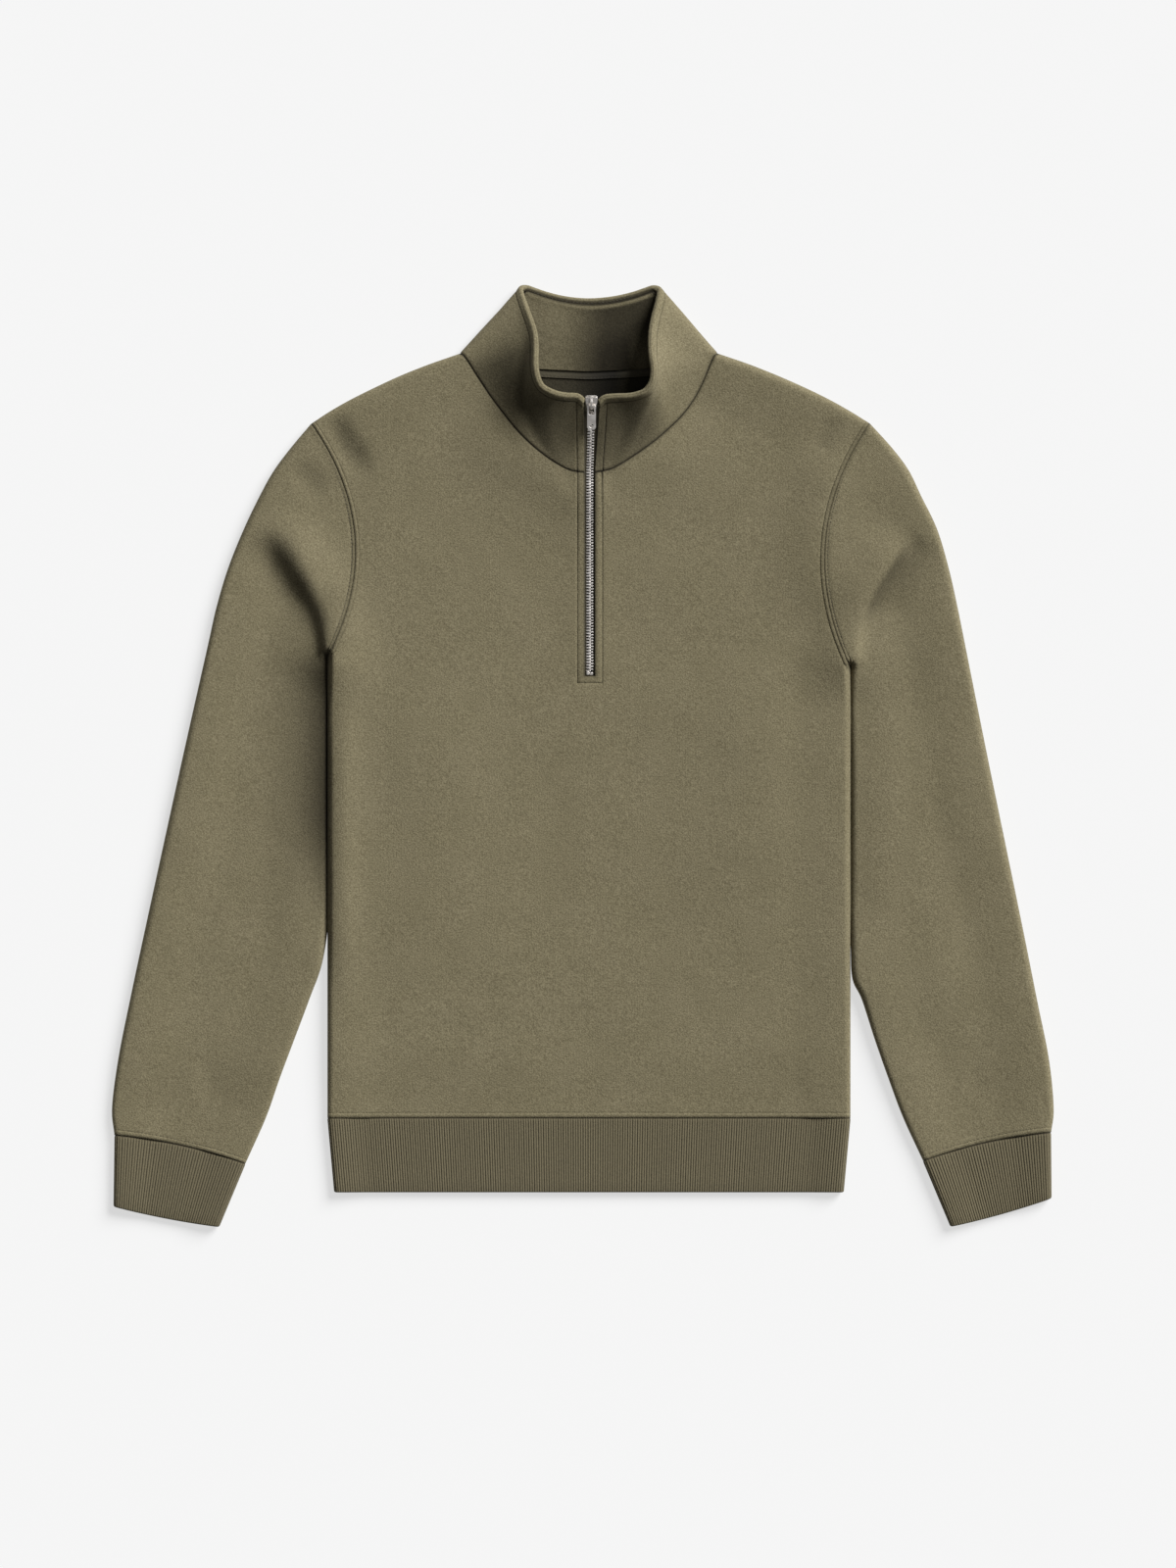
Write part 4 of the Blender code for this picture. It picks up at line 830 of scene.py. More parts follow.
# folds of the collar's outside: place round the neck halfway up, and how far it leans towards the rim
collarFolds = (
    {"place": 0.62, "lean": 0.70, "width": 0.11, "high": -2.6},
    {"place": 0.30, "lean": 0.25, "width": 0.08, "high": 1.0},
    {"place": 0.12, "lean": 0.00, "width": 0.06, "high": -0.9},
    {"place": 0.90, "lean": 0.10, "width": 0.06, "high": 0.8},
    {"place": 2.64, "lean": -0.46, "width": 0.055, "high": 2.2},
    {"place": 2.80, "lean": -0.24, "width": 0.09, "high": -2.0},
    {"place": 2.34, "lean": -0.25, "width": 0.09, "high": -1.2},
    {"place": 2.14, "lean": 0.05, "width": 0.06, "high": 0.7},
)


# shares of painted shade on the collar
collarShadeShares = {"flank": 0.66, "front": 0.64, "atEdges": 0.5, "halfway": 0.5}   # how dark, as a share


# painted shade: the collar's left flank and its front are painted darker, as the shade they lie in, most of all
# halfway up
def collarShade(places, up):
    flank = smoothstep((places + 0.08) / 0.25) * smoothstep((1.0 - places) / 0.15)
    front = smoothstep((places - 2.40) / 0.25)
    dark = collarShadeShares["flank"] * flank + collarShadeShares["front"] * front
    return dark * (collarShadeShares["atEdges"] + collarShadeShares["halfway"] * np.sin(math.pi * np.clip(up, 0, 1)) ** 0.6)


def collarMap(places, ups):
    return np.stack([places * 160.0 + 0 * ups[..., 0], ups[..., 0]], axis=-1)


def addCollar(material):
    places = collarPlaces(70)
    surface, ups = collarSurface(places, lambda length: collarRows(length, 0.0, 0.0))
    inward = inwardOf(surface)
    surface = surface - inward * collarRelief(surface, ups, places)[..., None]
    up = unit(surface[-1] - surface[-3])
    flat = unit(inward[-1] * (1, 1, 0) + (0, 1e-6, 0))
    onFront = smoothstep(np.minimum(abs(places - 1), abs(places - 2)) / 0.05) * ((places < 1) | (places > 2))
    turned, seamLines = [], []
    for angle in np.radians(np.linspace(0, 180, 24)[1:]):
        out = up * np.sin(angle) - inward[-1] * np.cos(angle)
        lean = np.degrees(np.arctan2((out * flat).sum(1), out[:, 2]))
        # painted shade on the front of the turned rim: a dark seam line and a stitch row, which also sink it a
        # little
        line = np.exp(-(((lean - collar["rimSeam"]) / 12.0) ** 4))
        row = 0.8 * np.exp(-(((lean - collar["rimRow"]) / 11.0) ** 2))
        seamLines.append(onFront * (line + row))
        turned.append(surface[-1] + collar["turn"] * (inward[-1] + out) - 0.3 * out * seamLines[-1][:, None])
    turned.append(turned[-1] - up * collar["tail"])
    seamLines.append(0 * places)
    points = np.concatenate([surface, turned])
    clothMap = collarMap(places, ups)
    over = np.linspace(0.3, 8, len(turned))[:, None, None] * (0, 1)
    clothMap = np.concatenate([clothMap, clothMap[-1:] + over])
    # painted shade on the collar: its seam, the rim's topstitching, beside the zip and on its flank and front; then
    # the seam lines on the turned rim and, darkest at the tail, behind it
    shade = seamPaintedShade(ups[..., 0]) + 0.9 * np.exp(-(((ups[..., 1] - collar["rimStitch"]) / 0.7) ** 2))
    shade = shade + besideZip(surface, ups, places, 0.8, 0.55)
    shade = shade + collarShade(places, ups[..., 0] / ups.sum(-1))
    behind = np.linspace(0.0, 1.0, len(turned))[:, None] ** 9 * np.ones(len(places))
    shade = np.concatenate([shade, behind + np.array(seamLines)])
    piece = makePiece("collarCloth", points, gridFaces(*points.shape[:2]), material, clothMap, shade)
    faceOut(piece)
    return thicken(piece, garment["wall"], rounded=0.5)


# shares of painted shade for the facing, as for the neck, with what its foot adds and where, in mm from the rim,
# its foot begins
facingShadeShares = {"left": 0.20, "more": 0.70, "moreX": -32.0, "moreOver": 50.0,
             "foot": 0.14, "footFrom": 10.0, "footOver": 40.0,
             "back": 0.5, "backX": 30.0, "backOver": 12.0, "backFrom": 22.0, "backFade": 30.0}


# painted shade: the facing is painted darker towards the right, less again low on the right wall, less on its lip,
# and dark along the seam under the rim
def facingShade(points, fromRim):
    nap, x = facingShadeShares, points[..., 0]
    foot = nap["foot"] * smoothstep((fromRim - nap["footFrom"]) / nap["footOver"])
    deep = nap["left"] + nap["more"] * smoothstep((x - nap["moreX"]) / nap["moreOver"]) + foot
    back = nap["back"] * smoothstep((x - nap["backX"]) / nap["backOver"])
    deep = deep * (1.0 - back * smoothstep((fromRim - nap["backFrom"]) / nap["backFade"]))
    lip = np.exp(-(((fromRim - 2.2) / 1.6) ** 2))
    return deep * (1.0 - lip) + np.exp(-((fromRim / 1.0) ** 2))


def addFacing(material):
    places = collarPlaces(50)
    fromFold = np.minimum(abs(places - 1), abs(places - 2))
    places = places[(fromFold == 0) | (fromFold > 0.0195)]
    top = collar["tail"] + garment["seamGap"]
    surface, ups = collarSurface(places, lambda length: collarRows(length, collar["facingFoot"], top))
    inward = inwardOf(surface)
    fromRim = ups[..., 1] - top
    offset = 2 * collar["turn"] + collar["lip"] * smoothstep((fromRim + 0.2) / 1.4) * np.exp(
        -((fromRim / collar["lipReach"]) ** 2))
    backFlat = smoothstep(np.minimum(places - 1.0, 2.0 - places) / 0.06)
    offset = offset - (offset - 2 * collar["turn"]) * 0.6 * backFlat
    offset = offset + 0.5 * uneven(surface, 26.0, 9) * smoothstep(fromRim / 12.0)
    points = surface + inward * offset[..., None]
    piece = makePiece("collarFacingCloth", points, gridFaces(*points.shape[:2]), material,
                      collarMap(places, ups), facingShade(points, fromRim))
    faceOut(piece)
    return thicken(piece, garment["wall"], rounded=0.6)


neckTape = {"width": 9.0, "wall": 0.9, "reach": 84.0, "up": 1.8}


def neckTapeLine():
    line = np.vstack([backNeck(leftSide), backNeck(rightSide)[::-1]])
    line = line[abs(line[:, 0]) < neckTape["reach"]]
    return movedLeft(along(line, np.linspace(0, 1, 80)), neckTape["up"])


def addNeckTape(material):
    line = neckTapeLine()
    rows = np.linspace(-0.5, 0.5, 11) * neckTape["width"]
    points = []
    for row in rows:
        edge = movedLeft(line, row)
        crown = 0.45 * math.cos(math.pi * row / neckTape["width"])
        height = garment["wall"] + garment["seamGap"] + neckTape["wall"] / 2 + crown
        sunk = 0.35 * math.exp(-(((abs(row) - 3.3) / 0.5) ** 2))
        points.append(np.column_stack([edge, np.full(len(edge), height - sunk)]))
    points = np.array(points)
    run = np.linspace(0, lengthsOf(line)[-1], len(line))
    clothMap = np.stack(np.meshgrid(run, rows), axis=-1)
    piece = makePiece("neckTapeCloth", points, gridFaces(*points.shape[:2]), material, clothMap,
                      neckShade(points), "insideShade")
    faceOut(piece)
    return thicken(piece, neckTape["wall"], rounded=0.2)


# one small thread for each stitch, laid along a path of points with the way out of the cloth there
def addStitches(name, runs, material):
    angles = np.linspace(0, 2 * math.pi, 6, endpoint=False)
    profile = ((-0.5, 0.35), (-0.32, 0.85), (0.0, 1.0), (0.32, 0.85), (0.5, 0.35))
    vertices, faces = [], []
    for points, outward in runs:
        lengths = lengthsOf(points)
        count = max(1, int(lengths[-1] / stitching["pitch"]))
        for place in (np.arange(count) + 0.5) * lengths[-1] / count:
            ends = [pointsAt(place + shift, lengths, points) for shift in (-0.6, 0.6)]
            way = unit(ends[1] - ends[0])
            out = unit(pointsAt(place, lengths, outward))
            across = np.cross(way, out)
            middle = (ends[0] + ends[1]) / 2 + out * (stitching["thread"] / 2 - stitching["sunk"])
            first = len(vertices)
            for at, size in profile:
                center = middle + way * at * stitching["length"] - out * (at * at * 0.9)
                radius = stitching["thread"] / 2 * size
                for angle in angles:
                    vertices.append(center + radius * (across * math.cos(angle) + out * math.sin(angle)))
            wide = len(angles)
            for ring in range(len(profile) - 1):
                for side in range(wide):
                    a, b = first + ring * wide + side, first + ring * wide + (side + 1) % wide
                    faces.append((a, b, b + wide, a + wide))
            faces.append(tuple(range(first + wide - 1, first - 1, -1)))
            last = first + (len(profile) - 1) * wide
            faces.append(tuple(range(last, last + wide)))
    mesh = bpy.data.meshes.new(name)
    mesh.from_pydata((np.array(vertices) + tableZero) * mm, [], faces)
    mesh.materials.append(material)
    mesh.shade_smooth()
    piece = addObject(name, mesh)
    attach(piece, "garment")
    return piece


# a run of stitches over the front at a plan path, on the wall's upper face
def frontRun(plan, relief=None, side=None):
    plan = along(plan, np.linspace(0, 1, max(3, int(lengthsOf(plan)[-1] / 2))))
    height = wallHeights(plan, side)[0] + (relief(plan) if relief else 0.0)
    points = np.column_stack([plan, height + garment["wall"] / 2])
    slope = np.gradient(points, axis=0)
    outward = unit(np.cross(slope, np.column_stack([slope[:, 1], -slope[:, 0], 0 * slope[:, 0]])))
    return points, outward * np.sign(outward[:, 2:])


def addBodyStitching(material):
    runs = []
    hemX = garment["sideX"] - 7
    hemY = garment["hemSeamY"] + stitching["hem"]
    runs.append(frontRun(np.array([(-hemX, hemY), (hemX, hemY)]), frontRelief))
    for side, path in zip(sides, armholePaths):
        body = movedLeft(path, side["sign"] * -stitching["armhole"])
        runs.append(frontRun(along(body, np.linspace(0.035, 0.97, 60)), frontRelief))
        sleeve = movedLeft(path, side["sign"] * stitching["sleeve"])
        runs.append(frontRun(along(sleeve, np.linspace(0.035, 0.93, 60)), None, side))
        outer, inner = np.array(side["outer"][-1]), np.array(side["inner"][-1])
        across = np.linspace(0.05, 0.95, 40)[:, None]
        up = np.array([inner[1] - outer[1], outer[0] - inner[0]]) / np.linalg.norm(outer - inner) * side["sign"]
        cuff = outer + (inner - outer) * across - up * (4 * across * (1 - across) * garment["cuffBow"][0])
        runs.append(frontRun(cuff + up * stitching["hem"], None, side))
    for first in range(3):
        runs.append(frontRun(zipStitchPath[first:first + 2], frontRelief))
    return addStitches("bodyStitching", runs, material)


def addCollarStitching(material):
    places = np.concatenate([np.linspace(0.10, 0.985, 120), np.linspace(2.015, 2.90, 120)])
    surface, ups = collarSurface(places, lambda length: length - np.array([9.0, collar["rimStitch"], 1.0]))
    inward = inwardOf(surface)
    outside = surface - inward * (garment["wall"] / 2 + collarRelief(surface, ups, places)[..., None])
    runs = [(outside[1, part], -inward[1, part]) for part in (slice(0, 120), slice(120, 240))]
    # the same stitching shows on the inside across the back, just under the turned rim
    back = np.linspace(1.05, 1.95, 120)
    surface, ups = collarSurface(back, lambda length: length - np.array([9.0, collar["tail"] - 0.9, 0.5]))
    inward = inwardOf(surface)
    inside = surface + inward * (2 * collar["turn"] + garment["wall"] / 2)
    runs.append((inside[1], inward[1]))
    for sign, near in ((-1, np.linspace(0.0, 0.2, 60)), (1, np.linspace(3.0, 2.8, 60))):
        surface, ups = collarSurface(near, lambda length: np.linspace(2.0, length - collar["rimStitch"], 24))
        away = abs(surface[..., 0] - zipEdgeX(surface, sign))
        inward = inwardOf(surface) * sign * -1
        relief = collarRelief(surface, ups, near)[..., None]
        outside = surface - inward * (garment["wall"] / 2 + relief)
        runs.append(tuple(np.array([pointsAt(stitching["zip"], gaps, row) for gaps, row in zip(away, rows)])
                          for rows in (outside, -inward)))
    return addStitches("collarStitching", runs, material)


def addNeckTapeStitching(material):
    line = neckTapeLine()
    runs = []
    for row in (-3.3, 3.3):
        edge = movedLeft(line, row)
        height = garment["wall"] + garment["seamGap"] + neckTape["wall"] + 0.1
        runs.append((np.column_stack([edge, np.full(len(edge), height)]), np.full((len(edge), 3), (0, 0, 1.0))))
    return addStitches("neckTapeStitching", runs, material)


# in mm: tapes, stop and teeth along the closed zip, then where the slider and its hinge lie, and their
# slopes in degrees
zipParts = {
    "depth": 1.35, "tapeDepth": 1.7, "tapeWall": 0.6, "tapeInner": 2.2, "tapeUnder": 9.0,
    "tapeFoot": 429.0, "tapeTop": 7.5, "stopFrom": 432.6, "stopTo": 435.4, "teethFrom": 436.2,
    "teethTo": 652.4, "pitch": 2.4, "toothHalf": 0.58, "toothHigh": 0.95, "reach": 3.0, "cross": 0.9,
    "topStops": 663.6, "slider": (2.054, 659.7, 28.434), "hinge": (2.054, 656.861, 30.612),
    "slope": 25.94, "tabLean": 11.0,
}


# both sides of the zip's opening from below its foot to the rim, moved out by an inset, each with the
# way into the cloth
def zipEdges(inset):
    edges = []
    frontY = np.append(np.linspace(zipParts["tapeFoot"], garment["neckY"] - 12, 60), garment["neckY"] - 3)
    for side in sides:
        x = garment["zipX"] + side["sign"] * (garment["slitHalf"] + inset)
        plan = np.column_stack([np.full(len(frontY), x), frontY])
        front = np.column_stack([plan, wallHeights(plan)[0]])
        way = unit(np.column_stack([0 * frontY, -np.gradient(front[:, 2]), np.gradient(front[:, 1])]))
        places = np.array([0.0, 0.015, 0.03, 0.045, 0.06, 0.075])
        places = places if side["sign"] < 0 else 3.0 - places[::-1]
        surface = collarSurface(places, lambda length: np.linspace(3.0, length - zipParts["tapeTop"], 26))[0]
        inward = inwardOf(surface)
        gaps = abs(surface[..., 0] - zipEdgeX(surface, side["sign"]))
        order = slice(None) if side["sign"] < 0 else slice(None, None, -1)
        pick, into = ([pointsAt(inset, gap[order], row[order]) for gap, row in zip(gaps, rows)]
                      for rows in (surface, inward))
        edges.append((np.vstack([front, pick]), np.vstack([-way, into])))
    return edges


# the middle of the closed zip, at a depth under the cloth
def zipLine(depth):
    left, right = zipEdges(0.0)
    inward = unit((left[1] + right[1]) * (0, 1, 1))
    return (left[0] + right[0]) / 2 + inward * depth


def addZipTape(side, material):
    order = sides.index(side)
    depth = zipParts["tapeDepth"]
    middle = zipLine(depth)
    columns = []
    hidden = (zipParts["tapeUnder"], 6.0, 3.0, 1.0, 0.0)
    for inset in hidden:
        edge, way = zipEdges(inset)[order]
        columns.append(edge + way * depth)
    showing = columns[-1]
    for share in (0.35, 0.6, 0.8, 0.9, 1.0):
        x = showing[:, 0] + (middle[:, 0] + side["sign"] * zipParts["tapeInner"] - showing[:, 0]) * share
        bead = 0.35 * smoothstep((share - 0.55) / 0.3)
        columns.append(np.column_stack([x, showing[:, 1], showing[:, 2] + bead]))
    points = np.array(columns)
    lengths = lengthsOf(showing)
    wide = np.array(hidden + (-0.7, -1.2, -1.6, -1.8, -2.0))
    clothMap = np.stack(np.meshgrid(lengths, wide), axis=-1)
    piece = makePiece("zipTapeCloth_" + side["name"], points, gridFaces(*points.shape[:2]), material, clothMap)
    faceOut(piece)
    return thicken(piece, zipParts["tapeWall"])


def joinRings(shell, rings):
    for first, second in zip(rings, rings[1:]):
        for i in range(4):
            shell.faces.new((first[i], first[(i + 1) % 4], second[(i + 1) % 4], second[i]))


# a block between cross-sections that stand at places along its own X
def addLoft(shell, sections, axes, middle):
    rings = []
    for x, halfLong, low, high in sections:
        corners = ((x, -halfLong, low), (x, halfLong, low), (x, halfLong, high), (x, -halfLong, high))
        rings.append([shell.verts.new(middle + np.array(corner) @ axes) for corner in corners])
    joinRings(shell, rings)
    shell.faces.new(rings[0][::-1])
    shell.faces.new(rings[-1])


# metal from a mesh in mm: either in the tables' own place or in the slider's axes
def metalPiece(name, shell, material, bevel=0.15, body="garment", matrix=None):
    bmesh.ops.recalc_face_normals(shell, faces=shell.faces)
    mesh = bpy.data.meshes.new(name)
    if matrix is None:
        bmesh.ops.translate(shell, vec=tableZero, verts=shell.verts)
        bmesh.ops.scale(shell, vec=(mm, mm, mm), verts=shell.verts)
    else:
        bmesh.ops.scale(shell, vec=(mm, mm, mm), verts=shell.verts)
        bmesh.ops.transform(shell, matrix=matrix, verts=shell.verts)
    shell.to_mesh(mesh)
    shell.free()
    mesh.materials.append(material)
    mesh.shade_smooth()
    piece = addObject(name, mesh)
    roundEdges(piece, "softEdge", bevel, 35)
    normals = piece.modifiers.new("normals", 'WEIGHTED_NORMAL')
    normals.keep_sharp = True
    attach(piece, body)
    return piece


# points on the zip's line at places up the front, each with its axes: across, along and out
def zipFrames(places):
    line = zipLine(zipParts["depth"])
    point, ahead = (pointsAt(np.array(places) + step, line[:, 1], line) for step in (0.0, 1.5))
    up = unit(ahead - point)
    across = unit(np.cross(up, np.cross((1.0, 0, 0), up)))
    return point, np.stack([across, up, np.cross(across, up)], axis=1)


def addTeeth(material):
    line = zipLine(zipParts["depth"])
    lengths = lengthsOf(line)
    start, end = (np.interp(zipParts[key], line[:, 1], lengths) for key in ("teethFrom", "teethTo"))
    shell = bmesh.new()
    high, half, reach, cross = (zipParts[key] for key in ("toothHigh", "toothHalf", "reach", "cross"))
    for index, place in enumerate(np.arange(start, end, zipParts["pitch"] / 2)):
        sign = 1 if index % 2 else -1
        point, axes = zipFrames([np.interp(place, lengths, line[:, 1])])
        turned = axes[0] * np.array([sign, 1, sign])[:, None] if sign < 0 else axes[0]
        up = 1 if sign > 0 else -1
        sections = [(reach, half * 0.9, -high * up * 0.8, high * up * 0.72),
                    (reach - 0.5, half, -high * up, high * up),
                    (0.9, half * 0.95, -high * up, high * up),
                    (-0.2, half * 0.78, -high * up * 0.9, high * up * 0.94),
                    (-cross, half * 0.7, -high * up * 0.7, high * up * 0.7)]
        addLoft(shell, sections, turned, point[0])
    piece = metalPiece("zipTeeth", shell, material, bevel=0.16)
    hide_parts("zip_chain")


def addStop(material):
    middleY = (zipParts["stopFrom"] + zipParts["stopTo"]) / 2
    point, axes = zipFrames([middleY])
    long = (zipParts["stopTo"] - zipParts["stopFrom"]) / 2
    shell = bmesh.new()
    addLoft(shell, [(-2.9, long * 0.8, -0.8, 0.9), (-2.4, long, -1.1, 1.25), (-0.9, long, -1.1, 1.35),
                    (-0.25, long * 0.85, -1.1, 1.0)], axes[0], point[0] + (0, 0.2, 0))
    addLoft(shell, [(0.15, long * 0.75, -1.0, 0.9), (0.9, long * 0.85, -1.1, 1.15), (2.4, long * 0.8, -1.1, 1.1),
                    (2.9, long * 0.6, -0.8, 0.8)], axes[0], point[0] - (0, 0.2, 0))
    addLoft(shell, [(-0.6, long * 0.5, -1.0, 0.7), (0.6, long * 0.5, -1.0, 0.7)], axes[0], point[0])
    piece = metalPiece("zipStop", shell, material, bevel=0.3)
    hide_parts("zip_stop")


# The two small stops that should close the teeth's rows behind the slider. Their place is past the
# end of the zip's line, where zipFrames has no direction, so they have no shape yet.
def addTopStops(material):
    point, axes = zipFrames([zipParts["topStops"]])
    shell = bmesh.new()
    for sign in (-1, 1):
        sections = [(sign * x, long, low, high) for x, long, low, high in (
            (0.5, 0.9, -0.5, 0.6), (1.2, 1.2, -0.7, 0.9), (4.2, 1.2, -0.7, 0.9), (6.6, 0.9, -0.5, 0.5))]
        addLoft(shell, sections, axes[0], point[0] - axes[0][2] * 0.4)
    metalPiece("zipTopStops", shell, material, bevel=0.25)


# a plate from its outline in plan, between two heights, with openings cut through it
def addPlate(shell, outline, low, high, openings=()):
    edges = []
    for loop in (outline,) + tuple(openings):
        corners = [shell.verts.new((x, y, low)) for x, y in loop]
        edges += [shell.edges.new((a, b)) for a, b in zip(corners, corners[1:] + corners[:1])]
    made = bmesh.ops.triangle_fill(shell, use_beauty=True, edges=edges)["geom"]
    faces = [item for item in made if isinstance(item, bmesh.types.BMFace)]
    lifted = bmesh.ops.extrude_face_region(shell, geom=faces)["geom"]
    corners = [item for item in lifted if isinstance(item, bmesh.types.BMVert)]
    bmesh.ops.translate(shell, vec=(0, 0, high - low), verts=corners)


def roundLoop(x, y, radius, count=20):
    return [(x + radius * math.cos(angle), y + radius * math.sin(angle))
            for angle in np.linspace(0, 2 * math.pi, count, endpoint=False)]


def mirrored(half):
    return list(half) + [(-x, y) for x, y in reversed(half)]


slider = {
    "plate": ((3.3, -5.3), (3.7, -4.9), (3.8, -2.2), (4.6, 0.2), (5.0, 2.6), (5.0, 4.4), (4.5, 5.2), (3.4, 5.5),
              (1.2, 5.5)),
    "thick": 1.0, "half": 2.2, "wedge": ((1.0, 0.6), (1.5, 4.6), (0.9, 5.4)),
    "bridgeWide": 1.8, "bridge": ((-4.4, 1.9), (-4.4, 3.6), (-3.6, 4.7), (-2.0, 5.1), (0.0, 5.2), (2.0, 5.0),
                                  (3.4, 4.2), (4.1, 3.0), (4.2, 1.9)), "bridgeThick": 1.0,
}
pullTab = {
    "outline": ((2.5, 0.5), (3.35, 0.2), (3.65, -0.6), (3.65, -18.4), (2.6, -20.3), (1.6, -20.5)),
    "slot": ((1.7, -0.75), (2.1, -1.2), (2.1, -7.0), (1.7, -7.5)), "thick": 1.3,
    "hole": (0.0, -17.0, 1.6),
}


def sliderMatrix(place, turn):
    middle = Vector((np.array(place) + tableZero) * mm)
    return Matrix.Translation(middle) @ Matrix.Rotation(math.radians(turn), 4, 'X')


def addSlider(material):
    shell = bmesh.new()
    outline = mirrored(slider["plate"])
    addPlate(shell, outline, slider["half"] - slider["thick"], slider["half"])
    addPlate(shell, outline, -slider["half"], slider["thick"] - slider["half"])
    addPlate(shell, mirrored(slider["wedge"]), -slider["half"] + 0.5, slider["half"] - 0.5)
    for sign in (-1, 1):
        rail = [(sign * x, y) for x, y in ((3.75, -4.6), (4.55, 0.2), (4.95, 2.6), (4.95, 4.2), (4.2, 4.2),
                                          (4.1, 2.4), (3.7, 0.4), (3.0, -2.2), (3.0, -4.6))]
        addPlate(shell, rail, slider["half"] - 1.7, slider["half"] - 0.2)
        addPlate(shell, rail, -slider["half"] + 0.2, -slider["half"] + 1.7)
    path = curve(slider["bridge"], 4)
    step = unit(np.gradient(path, axis=0))
    normal = np.column_stack([-step[:, 1], step[:, 0]]) * slider["bridgeThick"] / 2
    rings = []
    for (y, z), (ny, nz) in zip(path, normal):
        half = slider["bridgeWide"] / 2 * (1.25 if z < 3 else 1.0)
        rings.append([shell.verts.new((x, y + s * ny, z + s * nz)) for x, s in ((-half, -1), (half, -1), (half, 1),
                                                                               (-half, 1))])
    joinRings(shell, rings)
    shell.faces.new(rings[0])
    shell.faces.new(rings[-1])
    piece = metalPiece("zipSlider", shell, material, bevel=0.22,
                       matrix=sliderMatrix(zipParts["slider"], zipParts["slope"]))
    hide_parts("zip_slider")


def addPullTab(material):
    shell = bmesh.new()
    slot = mirrored(pullTab["slot"])
    addPlate(shell, mirrored(pullTab["outline"]), -pullTab["thick"] / 2, pullTab["thick"] / 2,
             (slot, roundLoop(*pullTab["hole"])))
    turn = zipParts["slope"] - zipParts["tabLean"]
    piece = metalPiece("pullTab", shell, material, bevel=0.25, body="pull_tab",
                       matrix=sliderMatrix(zipParts["hinge"], turn))
    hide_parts("zip_pull")


# cloth colours are linear; sizes of the grain are mm
finish = {
    "fleece": (0.250, 0.219, 0.136), "fleeceDark": (0.128, 0.108, 0.062), "grain": 1.25, "nap": 5.0,
    # the inside's colour is much darker than the fleece's: painted shade, since it shows only in the shade inside
    # the neck
    "inside": (0.090, 0.079, 0.050), "insideDark": (0.040, 0.034, 0.020),
    "mottle": 38.0, "wale": 1.3, "deepShade": (0.08, 0.074, 0.064),
    "rib": (0.165, 0.142, 0.086), "ribFurrow": (0.050, 0.041, 0.024),
    "tape": (0.085, 0.073, 0.046), "neckTape": (0.165, 0.143, 0.086), "thread": (0.046, 0.039, 0.024),
    "metal": (0.93, 0.89, 0.85), "metalShade": (0.70, 0.66, 0.62),
}


def newMaterial(name, roughness, metallic=0.0):
    material = bpy.data.materials.new(name)
    material.use_nodes = True
    nodes, links = material.node_tree.nodes, material.node_tree.links
    shader = nodes["Principled BSDF"]
    shader.inputs["Roughness"].default_value = roughness
    shader.inputs["Metallic"].default_value = metallic
    return material, nodes, links, shader


def objectPlace(nodes):
    return nodes.new("ShaderNodeTexCoord").outputs["Object"]


def attributeNode(nodes, name):
    read = nodes.new("ShaderNodeAttribute")
    read.attribute_name = name
    return read.outputs["Fac"]


def noiseNode(nodes, links, vector, size, detail=2.0, rough=0.5):
    noise = nodes.new("ShaderNodeTexNoise")
    noise.inputs["Scale"].default_value = 1000.0 / size
    noise.inputs["Detail"].default_value = detail
    noise.inputs["Roughness"].default_value = rough
    links.new(vector, noise.inputs["Vector"])
    return noise.outputs["Fac"]


def rampNode(nodes, links, factor, low, high, lowColor, highColor):
    ramp = nodes.new("ShaderNodeValToRGB")
    ramp.color_ramp.elements[0].position = low
    ramp.color_ramp.elements[1].position = high
    ramp.color_ramp.elements[0].color = (*lowColor, 1.0)
    ramp.color_ramp.elements[1].color = (*highColor, 1.0)
    links.new(factor, ramp.inputs["Fac"])
    return ramp.outputs["Color"]


def mixNode(nodes, links, factor, first, second, blend='MULTIPLY'):
    mix = nodes.new("ShaderNodeMix")
    mix.data_type = 'RGBA'
    mix.blend_type = blend
    mix.inputs["Factor"].default_value = factor
    links.new(first, mix.inputs["A"])
    links.new(second, mix.inputs["B"])
    return mix.outputs["Result"]


def bumpNode(nodes, links, height, strength, distance, before=None):
    bump = nodes.new("ShaderNodeBump")
    bump.inputs["Strength"].default_value = strength
    bump.inputs["Distance"].default_value = distance * mm
    links.new(height, bump.inputs["Height"])
    if before:
        links.new(before, bump.inputs["Normal"])
    return bump.outputs["Normal"]


def waveNode(nodes, links, vector, pitch, across, distortion=0.0):
    wave = nodes.new("ShaderNodeTexWave")
    wave.bands_direction = across
    wave.inputs["Scale"].default_value = 1000.0 * math.pi / 10.0 / pitch
    wave.inputs["Distortion"].default_value = distortion
    wave.inputs["Detail"].default_value = 1.0
    links.new(vector, wave.inputs["Vector"])
    return wave.outputs["Fac"]


